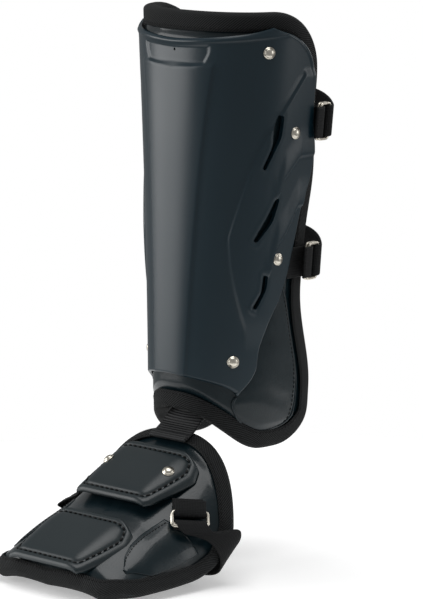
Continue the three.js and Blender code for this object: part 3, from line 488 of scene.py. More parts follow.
settle(shin_shell)
for cutter in cutters:
    bpy.data.objects.remove(cutter)
shin_shell.data.shade_smooth()
shin_shell.data.set_sharp_from_angle(angle=math.radians(38))

shell_paint = Paint("moulded_shell", Specular_IOR_Level=0.5)
clouds = shell_paint.noise(9, 3)
grain = shell_paint.noise(1900, 2)
shell_paint.dress(clouds, (0.0035, 0.0165, 0.0250), (0.0060, 0.0205, 0.0305), clouds * 0.12 + grain * 0.06 + 0.24,
                  grain * 0.6 + shell_paint.noise(420, 2) * 0.4, 0.00008, 0.35)
finish(shin_shell, shell_paint, ["shin_shell"])

# Rivets: nickel-plated dome heads with a narrow flange, set through the shell into the liner,
# four on each side of the shell and one on each side of the upper instep plate.
rivet_spots = [(70.2, 120.4), (93.3, 55.4), (83.1, -44.5), (48.5, -124.6)]
rivet_seats, rivet_axes = [], []
for angle, height in rivet_spots:
    for side in (1, -1):
        rise = float(shell_relief(np.array([angle]), np.array([height]))[0])
        rivet_seats.append(on_leg(side * angle, height, rise + 0.1))
        rivet_axes.append(leg_normal(side * angle, height))

nickel = Paint("nickel_plate", Metallic=1.0)
smear = nickel.noise(120, 2)
nickel.feed("Base Color", nickel.tint(smear, (0.64, 0.60, 0.52), (0.76, 0.72, 0.63)))
nickel.feed("Roughness", smear * 0.1 + 0.27)


def named_tree(name, inputs):
    """A new Geometry Nodes tree, and the identifiers of its inputs by their labels."""
    tree = bpy.data.node_groups.new(name, "GeometryNodeTree")
    tree.interface.new_socket("Geometry", in_out="INPUT", socket_type="NodeSocketGeometry")
    sockets = {}
    for label, kind, value in inputs:
        socket = tree.interface.new_socket(label, in_out="INPUT", socket_type=kind)
        if value is not None:
            socket.default_value = value
        sockets[label] = socket.identifier
    tree.interface.new_socket("Geometry", in_out="OUTPUT", socket_type="NodeSocketGeometry")
    return tree, sockets


def joined(tree, kind, settings=None, **links):
    """A new node of a tree with its settings, and with its inputs linked or set."""
    node = tree.nodes.new(kind)
    for key, value in (settings or {}).items():
        setattr(node, key, value)
    for key, value in links.items():
        socket = node.inputs[key.replace("_", " ")]
        if isinstance(value, bpy.types.NodeSocket):
            tree.links.new(value, socket)
        else:
            socket.default_value = value
    return node


def spread_tree(name, inputs, make_part):
    """Tree that sets a part on every point, its X along the point's run and its Z along its up."""
    tree, sockets = named_tree(name, inputs + [("Finish", "NodeSocketMaterial", None)])
    source = tree.nodes.new("NodeGroupInput")

    def read(label):
        node = joined(tree, "GeometryNodeInputNamedAttribute", {"data_type": "FLOAT_VECTOR"}, Name=label)
        return node.outputs["Attribute"]

    along = joined(tree, "FunctionNodeAlignRotationToVector", {"axis": "X"}, Vector=read("run"))
    upright = joined(tree, "FunctionNodeAlignRotationToVector", {"axis": "Z", "pivot_axis": "X"},
                     Rotation=along.outputs[0], Vector=read("up"))
    spread = joined(tree, "GeometryNodeInstanceOnPoints", Points=source.outputs["Geometry"],
                    Instance=make_part(tree, source), Rotation=upright.outputs[0])
    real = joined(tree, "GeometryNodeRealizeInstances", Geometry=spread.outputs[0])
    smooth = joined(tree, "GeometryNodeSetShadeSmooth", Geometry=real.outputs[0])
    coloured = joined(tree, "GeometryNodeSetMaterial", Geometry=smooth.outputs[0],
                      Material=source.outputs["Finish"])
    target = tree.nodes.new("NodeGroupOutput")
    tree.links.new(coloured.outputs[0], target.inputs[0])
    return tree, sockets


def spread(name, points, runs, ups, tree, sockets, values):
    """Runs a spreading tree over points in mm and keeps the plain mesh it makes."""
    mesh = bpy.data.meshes.new(name)
    mesh.from_pydata((np.asarray(points) / 1000).tolist(), [], [])
    for label, vectors in (("run", runs), ("up", ups)):
        layer = mesh.attributes.new(label, "FLOAT_VECTOR", "POINT")
        layer.data.foreach_set("vector", np.asarray(vectors, dtype=np.float32).ravel())
    piece = bpy.data.objects.new(name, mesh)
    bpy.context.scene.collection.objects.link(piece)
    modifier = piece.modifiers.new("spread", "NODES")
    modifier.node_group = tree
    for label, value in values.items():
        modifier[sockets[label]] = value
    settle(piece)
    return piece


flange_radius, flange_height, dome_radius, dome_rise, dome_flattening = 0.0048, 0.0012, 0.00395, 0.0003, 0.58


def rivet_part(tree, source):
    dome = joined(tree, "GeometryNodeMeshUVSphere", Segments=28, Rings=14, Radius=dome_radius)
    flat = joined(tree, "GeometryNodeTransform", Geometry=dome.outputs[0], Scale=(1, 1, dome_flattening),
                  Translation=(0, 0, dome_rise))
    flange = joined(tree, "GeometryNodeMeshCylinder", Vertices=28, Radius=flange_radius, Depth=flange_height)
    both = joined(tree, "GeometryNodeJoinGeometry")
    tree.links.new(flat.outputs[0], both.inputs[0])
    tree.links.new(flange.outputs[0], both.inputs[0])
    return both.outputs[0]


rivet_tree, rivet_sockets = spread_tree("rivet_heads", [], rivet_part)


def level_runs(axes):
    """A direction square to each axis, to lay a turned part's X along."""
    axes = np.asarray(axes)
    return np.cross(axes, np.broadcast_to([0.0, 0.0, 1.0], axes.shape))


def rivet_heads(name, seats, axes, nodes):
    heads = spread(name, seats, level_runs(axes), axes, rivet_tree, rivet_sockets, {"Finish": nickel.material})
    finish(heads, nickel, nodes)


rivet_heads("shell_rivet_heads", rivet_seats, rivet_axes, [
    f"{name}_rivet_{side}" for name in ("top", "upper", "middle", "lower") for side in ("outer", "inner")])

# Liner: closed-cell foam between two skins of glossy black synthetic leather, pressed flat round
# its edge where the binding tape grips it. Its wings reach down behind the ankle bones.
gap = 0.3
liner_face = -(shell_wall + 1.3)
liner_thickness = 14
tape_width, tape_wall, tape_slack = 15, 1, 1.2
liner_dip = 1.7
tape_reach = tape_wall + tape_slack


def corner_fall(share, start, height):
    """How far a rounded corner falls from a level edge, from a start to the edge's end at 1."""
    beyond = np.clip((np.abs(share) - start) / (1 - start), 0, 1)
    return height * (1 - np.sqrt(1 - beyond * beyond))


def liner_side(height):
    return 117 + 4 * np.exp(-(((height - 19.6) / 35) ** 2)) + 14.3 * ramp(-height, 70, 154)


def liner_top(share):
    return pad_top - corner_fall(share, 0.66, 54)


def liner_bottom(share):
    return ankle_arch - wing_drop * ramp(np.abs(share), 0.05, 0.6) + corner_fall(share, 0.74, 27)


def liner_dip_at(angle, height):
    """Depth in mm to which the liner is pressed flat under and beside its tape."""
    share = np.clip(np.abs(angle) / liner_side(height), 0, 1)
    sideways = (liner_side(height) - np.abs(angle)) / degrees_per_mm(angle, height)
    edge = np.minimum(sideways, np.minimum(liner_top(share) - height, height - liner_bottom(share)))
    return (liner_dip + tape_slack) * (1 - ramp(edge, tape_width - 1, tape_width + 7))


liner_shares = np.linspace(-1, 1, 181)
low_edge, high_edge = liner_bottom(liner_shares) + tape_reach, liner_top(liner_shares) - tape_reach
liner_heights = low_edge + (high_edge - low_edge) * closer_at_ends(171)[:, None]
reach = liner_side(liner_heights) - tape_reach * degrees_per_mm(liner_side(liner_heights), liner_heights)
liner_angles = liner_shares * reach
dips = liner_dip_at(liner_angles, liner_heights)
outer_skin = on_leg(liner_angles, liner_heights, liner_face - dips)
inner_skin = on_leg(liner_angles, liner_heights, liner_face - liner_thickness + dips)
liner = slab("padded_liner", outer_skin, inner_skin)

leather = Paint("synthetic_leather", Coat_Weight=0.3, Coat_Roughness=0.09, Specular_IOR_Level=0.24)
pebbles = leather.add("ShaderNodeTexVoronoi", {"feature": "SMOOTH_F1"}, Vector=leather.place(),
                      Scale=780.0, Smoothness=0.6)
creases = leather.noise(60, 5, 0.62)
# The leather's colour follows its crease relief, darker in the hollows and lighter on the tops: painted shade in
# the creases.
leather.dress(creases, (0.0025, 0.0085, 0.0115), (0.0050, 0.0140, 0.0185), creases * 0.2 + 0.22,
              pebbles * 0.12 + creases * 0.88, 0.0012, 0.4)
finish(liner, leather, ["shin_pad"])

# Binding tape: black twill webbing folded over the liner's edge all round, and lockstitched
# through both faces a few millimetres from its own edge.
face, back = liner_face - liner_dip, liner_face - liner_thickness + liner_dip


def liner_outline():
    """Angles and heights round the liner's edge."""
    t = np.linspace(0, 1, 241)[:-1]
    low, high = liner_bottom(1.0), liner_top(1.0)
    foot, rising = (2 * t - 1), low + (high - low) * t
    pieces = [
        (foot * liner_side(liner_bottom(foot)), liner_bottom(foot)), (liner_side(rising), rising),
        (-foot * liner_side(liner_top(-foot)), liner_top(-foot)),
        (-liner_side(low + high - rising), low + high - rising),
    ]
    return np.concatenate([p[0] for p in pieces]), np.concatenate([p[1] for p in pieces])


def evenly(spots, values, spacing, closed=True):
    """Values at even steps along a line of spots in mm."""
    if closed:
        spots = np.concatenate([spots, spots[:1]])
        values = np.concatenate([values, values[:1]])
    travelled = np.concatenate([[0], np.cumsum(np.linalg.norm(np.diff(spots, axis=0), axis=1))])
    count = int(round(travelled[-1] / spacing))
    marks = np.linspace(0, travelled[-1], count + 1)[: count if closed else None]
    return np.stack([np.interp(marks, travelled, column) for column in values.T], -1)


def softened(values, turns, closed=True):
    """Rounds the corners of a line by averaging each point with its neighbours."""
    for _ in range(turns):
        before, after = np.roll(values, 1, axis=0), np.roll(values, -1, axis=0)
        if not closed:
            before[0], after[-1] = values[0], values[-1]
        values = 0.25 * before + 0.5 * values + 0.25 * after
    return values


edge_angle, edge_height = liner_outline()
edge_line = evenly(on_leg(edge_angle, edge_height, 0), np.stack([edge_angle, edge_height], -1), 2.2)
edge_line = softened(edge_line, 6)
before, after = np.roll(edge_line, 1, axis=0), np.roll(edge_line, -1, axis=0)
turn_rate = degrees_per_mm(edge_line[:, 0], edge_line[:, 1])
along_mm, up_mm = (after - before)[:, 0] / turn_rate, (after - before)[:, 1]
step_mm = np.hypot(along_mm, up_mm)
inwards = np.stack([-up_mm / step_mm * turn_rate, along_mm / step_mm], -1)


def tape_section(width, thickness, wall):
    """A folded tape's section: (depth from the edge, height over the middle) from flap to flap."""
    half = thickness / 2
    bend = [(5 * (1 - math.sin(t) ** 0.8), half * math.copysign(abs(math.cos(t)) ** 0.8, math.cos(t)))
            for t in np.linspace(0.2, math.pi - 0.2, 13)]
    flap = [(width, half - 0.35), (width - 0.4, half), (width - 4, half), (8, half)]
    outside_line = flap + bend + [(depth, -rise) for depth, rise in reversed(flap)]
    inside_line = [(depth + wall if depth < 6 else depth, rise - math.copysign(wall, rise))
                   for depth, rise in outside_line[1:-1]]
    return outside_line + inside_line[::-1]


tape_form = tape_section(tape_width, face - back + 2 * (gap + tape_wall), tape_wall)
middle = (face + back) / 2
tape_rings = np.stack([
    on_leg(edge_line[:, 0] + inwards[:, 0] * depth, edge_line[:, 1] + inwards[:, 1] * depth, middle + rise)
    for depth, rise in tape_form], axis=1)
liner_tape = skin("liner_binding_tape", tape_rings, wrap=True)

twill = Paint("twill_tape", Specular_IOR_Level=0.16)
run, girth = twill.run_and_girth()
rib = (run * 0.85 + girth).wave(1.9)
fluff = twill.noise(900, 3)
worn = twill.noise(45, 3)
# The tape's colour follows its twill ribs, near black in the grooves and grey on the crests: painted shade and
# sheen on the weave, with a little random wear and fluff.
twill.dress(rib * 0.8 + worn * 0.1 + fluff * 0.1, (0.0008, 0.0010, 0.0011), (0.0270, 0.0290, 0.0300),
            worn * 0.15 + 0.68, rib * 0.8 + fluff * 0.2, 0.0006, 0.8)
finish(liner_tape, twill, ["shin_pad_tape"])

thread = Paint("bonded_thread", Specular_IOR_Level=0.2)
ply = thread.noise(2500, 2)
# The thread's colour follows its ply relief, darker in the dents and lighter on the tops: painted shade and
# sheen.
thread.dress(ply, (0.002, 0.002, 0.0022), (0.009, 0.009, 0.0095), ply * 0.2 + 0.5, ply, 0.0001, 0.5)


def stitch_part(tree, source):
    ball = joined(tree, "GeometryNodeMeshUVSphere", Segments=6, Rings=5, Radius=0.5)
    size = joined(tree, "ShaderNodeCombineXYZ", X=source.outputs["Stitch length"],
                  Y=source.outputs["Thread width"], Z=source.outputs["Thread width"])
    return joined(tree, "GeometryNodeTransform", Geometry=ball.outputs[0], Scale=size.outputs[0]).outputs[0]


stitch_sizes = [("Stitch length", "NodeSocketFloat", 0.003), ("Thread width", "NodeSocketFloat", 0.0008)]
stitch_tree, stitch_sockets = spread_tree("lockstitches", stitch_sizes, stitch_part)


def sew(name, seams, pitch=3.6, length=2.8, width=0.8):
    """Lockstitches along seams given as (points, normals, closed) in mm."""
    points, runs, ups = [], [], []
    for spots, normals, closed in seams:
        both = evenly(spots, np.concatenate([spots, normals], axis=1), pitch, closed)
        places = both[:, :3]
        if closed:
            heading = np.roll(places, -1, axis=0) - np.roll(places, 1, axis=0)
        else:
            heading = np.gradient(places, axis=0)
        points.append(places)
        runs.append(heading)
        ups.append(both[:, 3:])
    sizes = {"Stitch length": length / 1000, "Thread width": width / 1000, "Finish": thread.material}
    piece = spread(name, np.concatenate(points), np.concatenate(runs), np.concatenate(ups),
                   stitch_tree, stitch_sockets, sizes)
    finish(piece, thread)


stitch_inset, stitch_lift = 2.4, 1.35


def tape_seam(depth, rise):
    angle, height = edge_line[:, 0] + inwards[:, 0] * depth, edge_line[:, 1] + inwards[:, 1] * depth
    return on_leg(angle, height, rise), leg_normal(angle, height), True


tape_hem = tape_width - stitch_inset
sew("liner_tape_stitches", [tape_seam(tape_hem, face + stitch_lift), tape_seam(tape_hem, back - stitch_lift)])

# Ankle wing panels: puffed pieces of the same leather over thin foam, sewn to the liner along
# their rear edge, piped round their lower edge and tucked under the shell at the front.
wing_top, wing_foot = -68.6, -184.6
wing_end_rows = [(-68.6, 94), (-90.4, 100.9), (-112.3, 107.4), (-131.9, 112.7), (-147.8, 115.7),
                 (-165.5, 114.6), (-175, 111), (-180.5, 104.5), (-183.4, 96), (-184.6, 84)]
wing_start_rows = [(-154, 52), (-158.4, 48.8), (-165, 50), (-171, 53), (-175.7, 57.2), (-180, 62.5),
                   (-182.9, 69), (-184.6, 80)]
wing_tuck, wing_lift, wing_puff, wing_sunk, ripple_height = 2.5, 0.9, 2.2, 0.6, 0.22
shell_corner = shell_side_rows[-1][0]
wing_rows, wing_columns = np.sin(np.linspace(0, np.pi / 2, 81)), np.linspace(0, 1, 49)
wing_heights = wing_top + (wing_foot - wing_top) * wing_rows
behind_shell = np.where(wing_heights > shell_corner, shell_side(wing_heights) - wing_tuck, 0)
wing_start = np.maximum(behind_shell, eased(wing_start_rows, wing_heights, 1))
liner_reach = liner_side(wing_heights)
tape_start = liner_reach - (tape_width + 2) * degrees_per_mm(liner_reach, wing_heights)
wing_end = np.minimum(eased(wing_end_rows, wing_heights, 1), tape_start)
crown = np.sin(np.pi * np.clip(wing_rows, 0.04, 0.96)) ** 0.6
puff = np.sin(np.pi * np.clip(wing_columns, 0.015, 0.985)) ** 0.55
wing_angles = wing_start[:, None] + (wing_end - wing_start)[:, None] * wing_columns
wing_level = np.broadcast_to(wing_heights[:, None], wing_angles.shape)
wing_dip = liner_dip_at(wing_angles, wing_level)
ripple = ripple_height * np.sin(wing_level / 4.3 + wing_angles / 9) * puff * (1 - puff * 0.6)
wing_rise = liner_face - wing_dip + wing_lift + wing_puff * crown[:, None] * puff + ripple
wing_base = liner_face - wing_dip - wing_sunk


def unit(vector):
    return vector / np.linalg.norm(vector, axis=-1, keepdims=True)


def piping(name, path, upright, radius=1.1):
    """A round cord covered in leather, laid along a seam."""
    both = softened(evenly(path, np.concatenate([path, upright], axis=1), 1.2, closed=False), 3, closed=False)
    spots, up = both[:, :3], unit(both[:, 3:])
    aside = unit(np.cross(np.gradient(spots, axis=0), up))
    turn = np.linspace(0, 2 * np.pi, 11)[:-1]
    rings = np.stack([spots + radius * (aside * np.cos(t) + up * np.sin(t)) for t in turn], axis=1)
    finish(skin(name, rings), leather)


wing_seams = []
bare = int(np.argmax(wing_heights < shell_corner - 0.7))
hem = (slice(4, -16), -4)
for side, name in ((1, "outer"), (-1, "inner")):
    outer_sheet = on_leg(side * wing_angles, wing_level, wing_rise)
    inner_sheet = on_leg(side * wing_angles, wing_level, wing_base)
    panel = slab(f"wing_panel_{name}", outer_sheet, inner_sheet)
    finish(panel, leather, [f"ankle_wing_panel_{name}"])
    edge_at = side * np.concatenate([wing_angles[bare:, 0], wing_angles[::-1, -1]])
    edge_up = np.concatenate([wing_heights[bare:], wing_heights[::-1]])
    edge_lift = np.concatenate([wing_dip[bare:, 0], wing_dip[::-1, -1]])
    edge_spots = on_leg(edge_at, edge_up, liner_face - edge_lift + wing_lift)
    piping(f"wing_piping_{name}", edge_spots, leg_normal(edge_at, edge_up))
    seam_up = leg_normal(side * wing_angles[hem], wing_level[hem])
    wing_seams.append((outer_sheet[hem] + 0.15 * seam_up, seam_up, False))
sew("wing_panel_stitches", wing_seams)

# Calf straps: 25 mm black ribbed elastic. On the outer side a short tab holds two flat nickel
# rings, the strap turns back through them, and it runs round the calf to the other side.
strap_width, strap_wall, ring_wire, ring_inner = 25, 1.7, 1.2, 9
ring_stack = 2 * ring_wire + gap
bar_spacing = ring_inner + 2 * ring_wire
fold_radius = ring_stack / 2 + ring_wire + 0.6 + strap_wall / 2
tab_tail = (3, 6, 9)


def fold_round(bar, along, normal):
    """Half turn of a strap's middle line round a ring's bar."""
    turn = np.linspace(-np.pi / 2, np.pi / 2, 13)[:, None]
    return bar + fold_radius * (along * np.cos(turn) + normal * np.sin(turn))


def strap_band(name, path, across, nodes):
    """An elastic band along a path, with rounded edges and its ends cut square."""
    both = evenly(path, np.concatenate([path, across], axis=1), 1.5, closed=False)
    both = softened(both, 3, closed=False)
    spots, side = both[:, :3], unit(both[:, 3:])
    normal = unit(np.cross(np.gradient(spots, axis=0), side))
    half = strap_width / 2
    edge = [(half - 1, 0.5), (half - 0.35, 0.42), (half, 0.15)]
    flat = [(w, 0.5) for w in np.linspace(-half + 3, half - 3, 8)]
    top = [(-w, t) for w, t in reversed(edge)] + flat + edge
    form = top + [(w, -t) for w, t in reversed(top)]
    rings = np.stack([spots + side * w + normal * (t * strap_wall) for w, t in form], axis=1)
    finish(skin(name, rings), elastic, nodes)


def wire_ring(name, centre, long, short, inner_long, inner_short):
    """Flat ring of round wire with rounded corners."""
    normal = unit(np.cross(long, short))
    half_long, half_short, bend = inner_long / 2 + ring_wire, inner_short / 2 + ring_wire, 2 * ring_wire
    rings = []
    for short_sign, long_sign, start in ((1, 1, 0), (-1, 1, 90), (-1, -1, 180), (1, -1, 270)):
        for turn in np.radians(np.linspace(start, start + 90, 8)):
            out = short * np.cos(turn) + long * np.sin(turn)
            corner = short * short_sign * (half_short - bend) + long * long_sign * (half_long - bend)
            spot = centre + corner + out * bend
            around = np.linspace(0, 2 * np.pi, 15)[:-1, None]
            rings.append(spot + ring_wire * (out * np.cos(around) + normal * np.sin(around)))
    return skin(name, np.array(rings), wrap=True)


def ring_pair(name, centre, outwards, upright, flare):
    """Two stacked rings, long enough for the strap, hanging along their flare."""
    for label, shift in (("outer", 0.5), ("inner", -0.5)):
        ring = wire_ring(f"{name}_nickel_ring_{label}", centre + outwards * shift * ring_stack,
                         upright, flare, strap_width + 1, ring_inner)
        finish(ring, nickel, [f"{name}_ring_{label}"])


def lean(angle, height):
    """Direction up the leg's face over the width of a strap."""
    half = strap_width / 2
    return unit(on_leg(angle, height + half, 0) - on_leg(angle, height - half, 0))


elastic = Paint("ribbed_elastic", Specular_IOR_Level=0.2)
run, girth = elastic.run_and_girth()
cross_rib, cord_rib = run.wave(1.15), girth.wave(2.1)
lint = elastic.noise(700, 3)
# The elastic's colour follows its ribs and cords, dark in the grooves and lighter on the ribs: painted shade and
# sheen on the knit, with some random lint.
elastic.dress(cross_rib * 0.45 + cord_rib * 0.3 + lint * 0.25, (0.0018, 0.0020, 0.0022), (0.0120, 0.0130, 0.0140),
              lint * 0.2 + 0.6, cross_rib * 0.45 + cord_rib * 0.35 + lint * 0.2, 0.0004, 0.7)

strap_stand_off = liner_face + gap + strap_wall / 2
flare = unit(np.array([-0.1, 1, 0]))
flare_normal = np.array([flare[1], -flare[0], 0])
loop_depth, loop_rise = 33, 0.25
tab_seam_back, tab_seam_lift, tab_seam_half = 6.8, 0.95, 10.5
strap_seams = []
for name, height in (("upper", 62), ("lower", -50)):
    shell_end = max(float(shell_side(height + shift * strap_width / 2)) for shift in (-1, 0, 1)) - 3
    liner_end = float(liner_side(height))
    bar_angle = liner_end - 3.5
    normal = leg_normal(bar_angle, height)
    along = np.array([-normal[1], normal[0], 0])
    upright = lean(bar_angle, height)
    near_bar = on_leg(bar_angle, height, strap_stand_off) + normal * fold_radius
    turned_back = near_bar + normal * fold_radius
    tab_path = np.concatenate([
        on_leg(np.linspace(shell_end, bar_angle, 8)[:-1], height, strap_stand_off),
        fold_round(near_bar, along, normal), np.array([turned_back - along * d for d in tab_tail])])
    strap_band(f"{name}_ring_tab", tab_path, np.broadcast_to(upright, tab_path.shape), [f"{name}_tab"])
    ring_pair(name, near_bar + flare * bar_spacing / 2, flare_normal, upright, flare)

    far_bar = near_bar + flare * bar_spacing
    fold = fold_round(far_bar, -flare, -flare_normal)
    outside_end = fold[0]
    turns = np.cos(np.pi * (np.arange(61) + 0.5) / 61)
    rear_y = outside_end[1] + 1 + loop_depth * (1 - turns ** 2)
    loop = np.stack([outside_end[0] * turns, rear_y, height + loop_rise * (rear_y - outside_end[1])], -1)
    inner_end = on_leg(-np.linspace(liner_end - 2, shell_end, 10), height, strap_stand_off)
    path = np.concatenate([[fold[-1] + flare * 9], fold[::-1], loop, inner_end])
    share = np.clip(0.5 + 0.5 * path[:, :1] / outside_end[0], 0, 1)
    across = unit(lean(-liner_end, height) * (1 - share) + upright * share)
    strap_band(f"{name}_calf_strap", path, across, [f"{name}_strap"])
    seam_middle = turned_back - along * tab_seam_back + normal * tab_seam_lift
    cross_line = np.array([seam_middle + upright * w for w in np.linspace(-tab_seam_half, tab_seam_half, 9)])
    strap_seams.append((cross_line, np.broadcast_to(normal, cross_line.shape), False))
sew("strap_tab_stitches", strap_seams, pitch=2.6, length=2.1, width=0.7)

# Instep guard: a second pad of the same leather and foam, bent over the instep and bound with
# the same tape. Its sections run from a ridge to its side edges, from the ankle to the toes.
ankle_end_y, instep_drop, instep_length, instep_fall = -54, 183, 152, 90
instep_half, instep_side_drop, instep_thickness, instep_tape_width = 82, 102, 11, 13
instep_along = [0, 0.17, 0.33, 0.5, 0.67, 0.8, 0.9, 1]
instep_shape = {
    "reach": [0, 0.17, 0.34, 0.5, 0.665, 0.83, 0.943, 0.975],
    "fall": [0, 0.19, 0.38, 0.555, 0.68, 0.83, 0.95, 1.13],
    "bend": [0.78, 0.8, 0.78, 0.76, 0.75, 0.73, 0.7, 0.66],
    "side": [1, 1, 0.99, 0.975, 0.95, 0.93, 0.9, 0.86],
    "side_reach": [0.14, 0.24, 0.38, 0.54, 0.68, 0.8, 0.885, 0.971],
    "side_fall": [0.66, 0.89, 0.98, 1, 1.01, 1.01, 1.01, 1.02],
}
instep_blur = 0.05


def instep_end(across):
    return 1 - corner_fall(across, 0.6, 0.26)


def instep_point(across, along):
    """Points of the instep's upper face, from -1 to 1 across it and from 0 to 1 along it."""
    across, along = np.broadcast_arrays(np.asarray(across, float), np.asarray(along, float))

    def read(column):
        blurred = eased(list(zip(instep_along, instep_shape[column])), along, instep_blur)
        exact = np.interp(along, instep_along, instep_shape[column])
        return np.where((along < instep_blur) | (along > 1 - instep_blur), exact, blurred)

    ridge_y = ankle_end_y - instep_length * read("reach")
    ridge_z = -instep_drop - instep_fall * read("fall")
    ridge = np.stack([np.zeros_like(along), ridge_y, ridge_z], -1)
    edge = np.stack([instep_half * read("side"), ankle_end_y - instep_length * read("side_reach"),
                     -instep_drop - instep_side_drop * read("side_fall")], -1)
    bend = np.stack([instep_half * read("bend"), ridge_y, ridge_z + 4], -1)
    t = np.abs(across)[..., None]
    point = ridge * (1 - t) ** 2 + bend * 2 * t * (1 - t) + edge * t * t
    point[..., 0] *= np.sign(across)
    return point


def instep_normal(across, along):
    step = 0.02
    left, right = (instep_point(np.clip(across + turn, -1, 1), along) for turn in (-step, step))
    rear, front = (instep_point(across, np.clip(along + turn, 0, 1)) for turn in (-step, step))
    return unit(np.cross(front - rear, right - left))


def on_instep(across, along, above):
    return instep_point(across, along) + instep_normal(across, along) * np.asarray(above, float)[..., None]


def instep_dip(across, along):
    """Depth in mm to which the instep pad is pressed flat under and beside its tape."""
    ends = np.minimum(along, instep_end(across) - along) * instep_length
    edge = np.minimum((1 - np.abs(across)) * 1.4 * instep_half, ends)
    return tape_slack * (1 - ramp(edge, instep_tape_width, instep_tape_width + 7))


side_inset, end_inset = tape_reach / instep_half, tape_reach / instep_length
instep_across = np.broadcast_to((1 - side_inset) * np.linspace(-1, 1, 161), (111, 161))
instep_up = end_inset + (instep_end(instep_across) - 2 * end_inset) * np.linspace(0, 1, 111)[:, None]
press = instep_dip(instep_across, instep_up)
top_skin = on_instep(instep_across, instep_up, -press)
under_skin = on_instep(instep_across, instep_up, press - instep_thickness)
instep_pad = slab("instep_padding", top_skin, under_skin)
finish(instep_pad, leather, ["instep_pad"])

t = np.linspace(0, 1, 161)[:-1]
outline_across = np.concatenate([2 * t - 1, 0 * t + 1, 1 - 2 * t, 0 * t - 1])
outline_along = np.concatenate([0 * t, t * instep_end(1.0), instep_end(1 - 2 * t), (1 - t) * instep_end(1.0)])
rim = evenly(instep_point(outline_across, outline_along), np.stack([outline_across, outline_along], -1), 2)
rim = softened(rim, 4)
rim_normal = unit(softened(instep_normal(rim[:, 0], rim[:, 1]), 4))
rim_spots = instep_point(rim[:, 0], rim[:, 1])
heading = unit(np.roll(rim_spots, -1, axis=0) - np.roll(rim_spots, 1, axis=0))
rim_inwards = unit(softened(np.cross(rim_normal, heading), 3))
rim_inwards *= np.sign(np.sum(rim_inwards * (instep_point(0.0, 0.5) - rim_spots), axis=1, keepdims=True))


def nearest_on_instep(targets, guess):
    """Places on the instep's face closest to some targets, by shrinking steps from a guess."""
    best = guess.copy()
    distance = np.linalg.norm(instep_point(best[:, 0], best[:, 1]) - targets, axis=1)
    step = 0.16
    while step > 0.0008:
        moved = False
        for move in ((step, 0), (-step, 0), (0, step), (0, -step)):
            trial = best + move
            trial = np.stack([np.clip(trial[:, 0], -1, 1), np.clip(trial[:, 1], 0, 1)], -1)
            far = np.linalg.norm(instep_point(trial[:, 0], trial[:, 1]) - targets, axis=1)
            closer = far < distance - 1e-7
            best[closer], distance[closer] = trial[closer], far[closer]
            moved = moved or bool(closer.any())
        if not moved:
            step /= 2
    return best


def rim_seam(depth, above):
    """A closed line on the instep pad at a depth inwards from its rim, and its normals."""
    across, along = nearest_on_instep(rim_spots + rim_inwards * depth, rim).T
    return on_instep(across, along, np.full(len(across), above)), instep_normal(across, along), True


rim_form = tape_section(instep_tape_width, instep_thickness + 2 * (gap + tape_wall), tape_wall)
rim_rings = []
for depth, rise in rim_form:
    above = rise - instep_thickness / 2
    if depth > 5.5:
        rim_rings.append(rim_seam(depth, above)[0])
    else:
        rim_rings.append(rim_spots + rim_inwards * depth + rim_normal * above)
instep_tape = skin("instep_binding_tape", np.stack(rim_rings, axis=1), wrap=True)
finish(instep_tape, twill, ["instep_pad_tape"])
rim_hem = instep_tape_width - stitch_inset
sew("instep_tape_stitches", [rim_seam(rim_hem, lift) for lift in (stitch_lift, -instep_thickness - stitch_lift)])

# Ankle webbing: flat 40 mm ribbed nylon, sewn behind the liner's lower edge and onto the
# instep pad, so that the instep guard swings on it. Its lower end is folded under as a lip.
webbing_width, webbing_wall, webbing_sewn = 40, 1.8, 15
behind = liner_face - liner_thickness - tape_slack - webbing_wall / 2
over = tape_wall + 3 * gap + webbing_wall / 2
webbing_spine = np.array([
    *(on_leg(0.0, ankle_arch + up, behind) for up in (webbing_sewn, webbing_sewn / 2, -4)),
    on_instep(0.0, 0.0, over + 7) + (0, 6.5, 0), on_instep(0.0, 0.0, over + 1) + (0, 2, 0),
    on_instep(0.0, 0.05, over), on_instep(0.0, 0.09, over)])
webbing_bow = np.array([6.5, 6.5, 6.5, 3.25, 0, 0, 0])
spine = evenly(webbing_spine, np.concatenate([webbing_spine, webbing_bow[:, None]], axis=1), 1, closed=False)
spine = softened(spine, 8, closed=False)
spine_normal = unit(np.cross([1.0, 0, 0], np.gradient(spine[:, :3], axis=0)))
half = webbing_width / 2
upper_form = [(w, 0.5) for w in np.linspace(-half + 1.2, half - 1.2, 16)]
upper_form = [(-half, 0.15), (-half + 0.4, 0.45)] + upper_form + [(half - 0.4, 0.45), (half, 0.15)]
webbing_form = upper_form + [(w, -rise) for w, rise in reversed(upper_form)]
if spine_normal[-1, 2] < 0:
    spine_normal = -spine_normal
from_lip = len(spine) - 1.0 - np.arange(len(spine))
lip_nose = np.sqrt(np.clip(1 - (1 - np.clip(from_lip / 1.6, 0, 1)) ** 2, 0, 1))
lip_fold = 1.5 * (1 - ramp(from_lip, 6, 8.5)) * lip_nose
webbing_rings = np.stack([
    spine[:, :3] + np.array([w, 0, 0]) + np.outer(spine[:, 3] * (w / half) ** 2, [0, 1, 0])
    + spine_normal * (rise * webbing_wall + lip_fold * (rise > 0))[:, None]
    for w, rise in webbing_form], axis=1)
webbing = skin("ankle_hinge_webbing", webbing_rings)

nylon = Paint("ribbed_nylon", Specular_IOR_Level=0.26)
run, girth = nylon.run_and_girth()
weft, warp = run.wave(2.4), girth.wave(0.9)
fuzz = nylon.noise(800, 3)
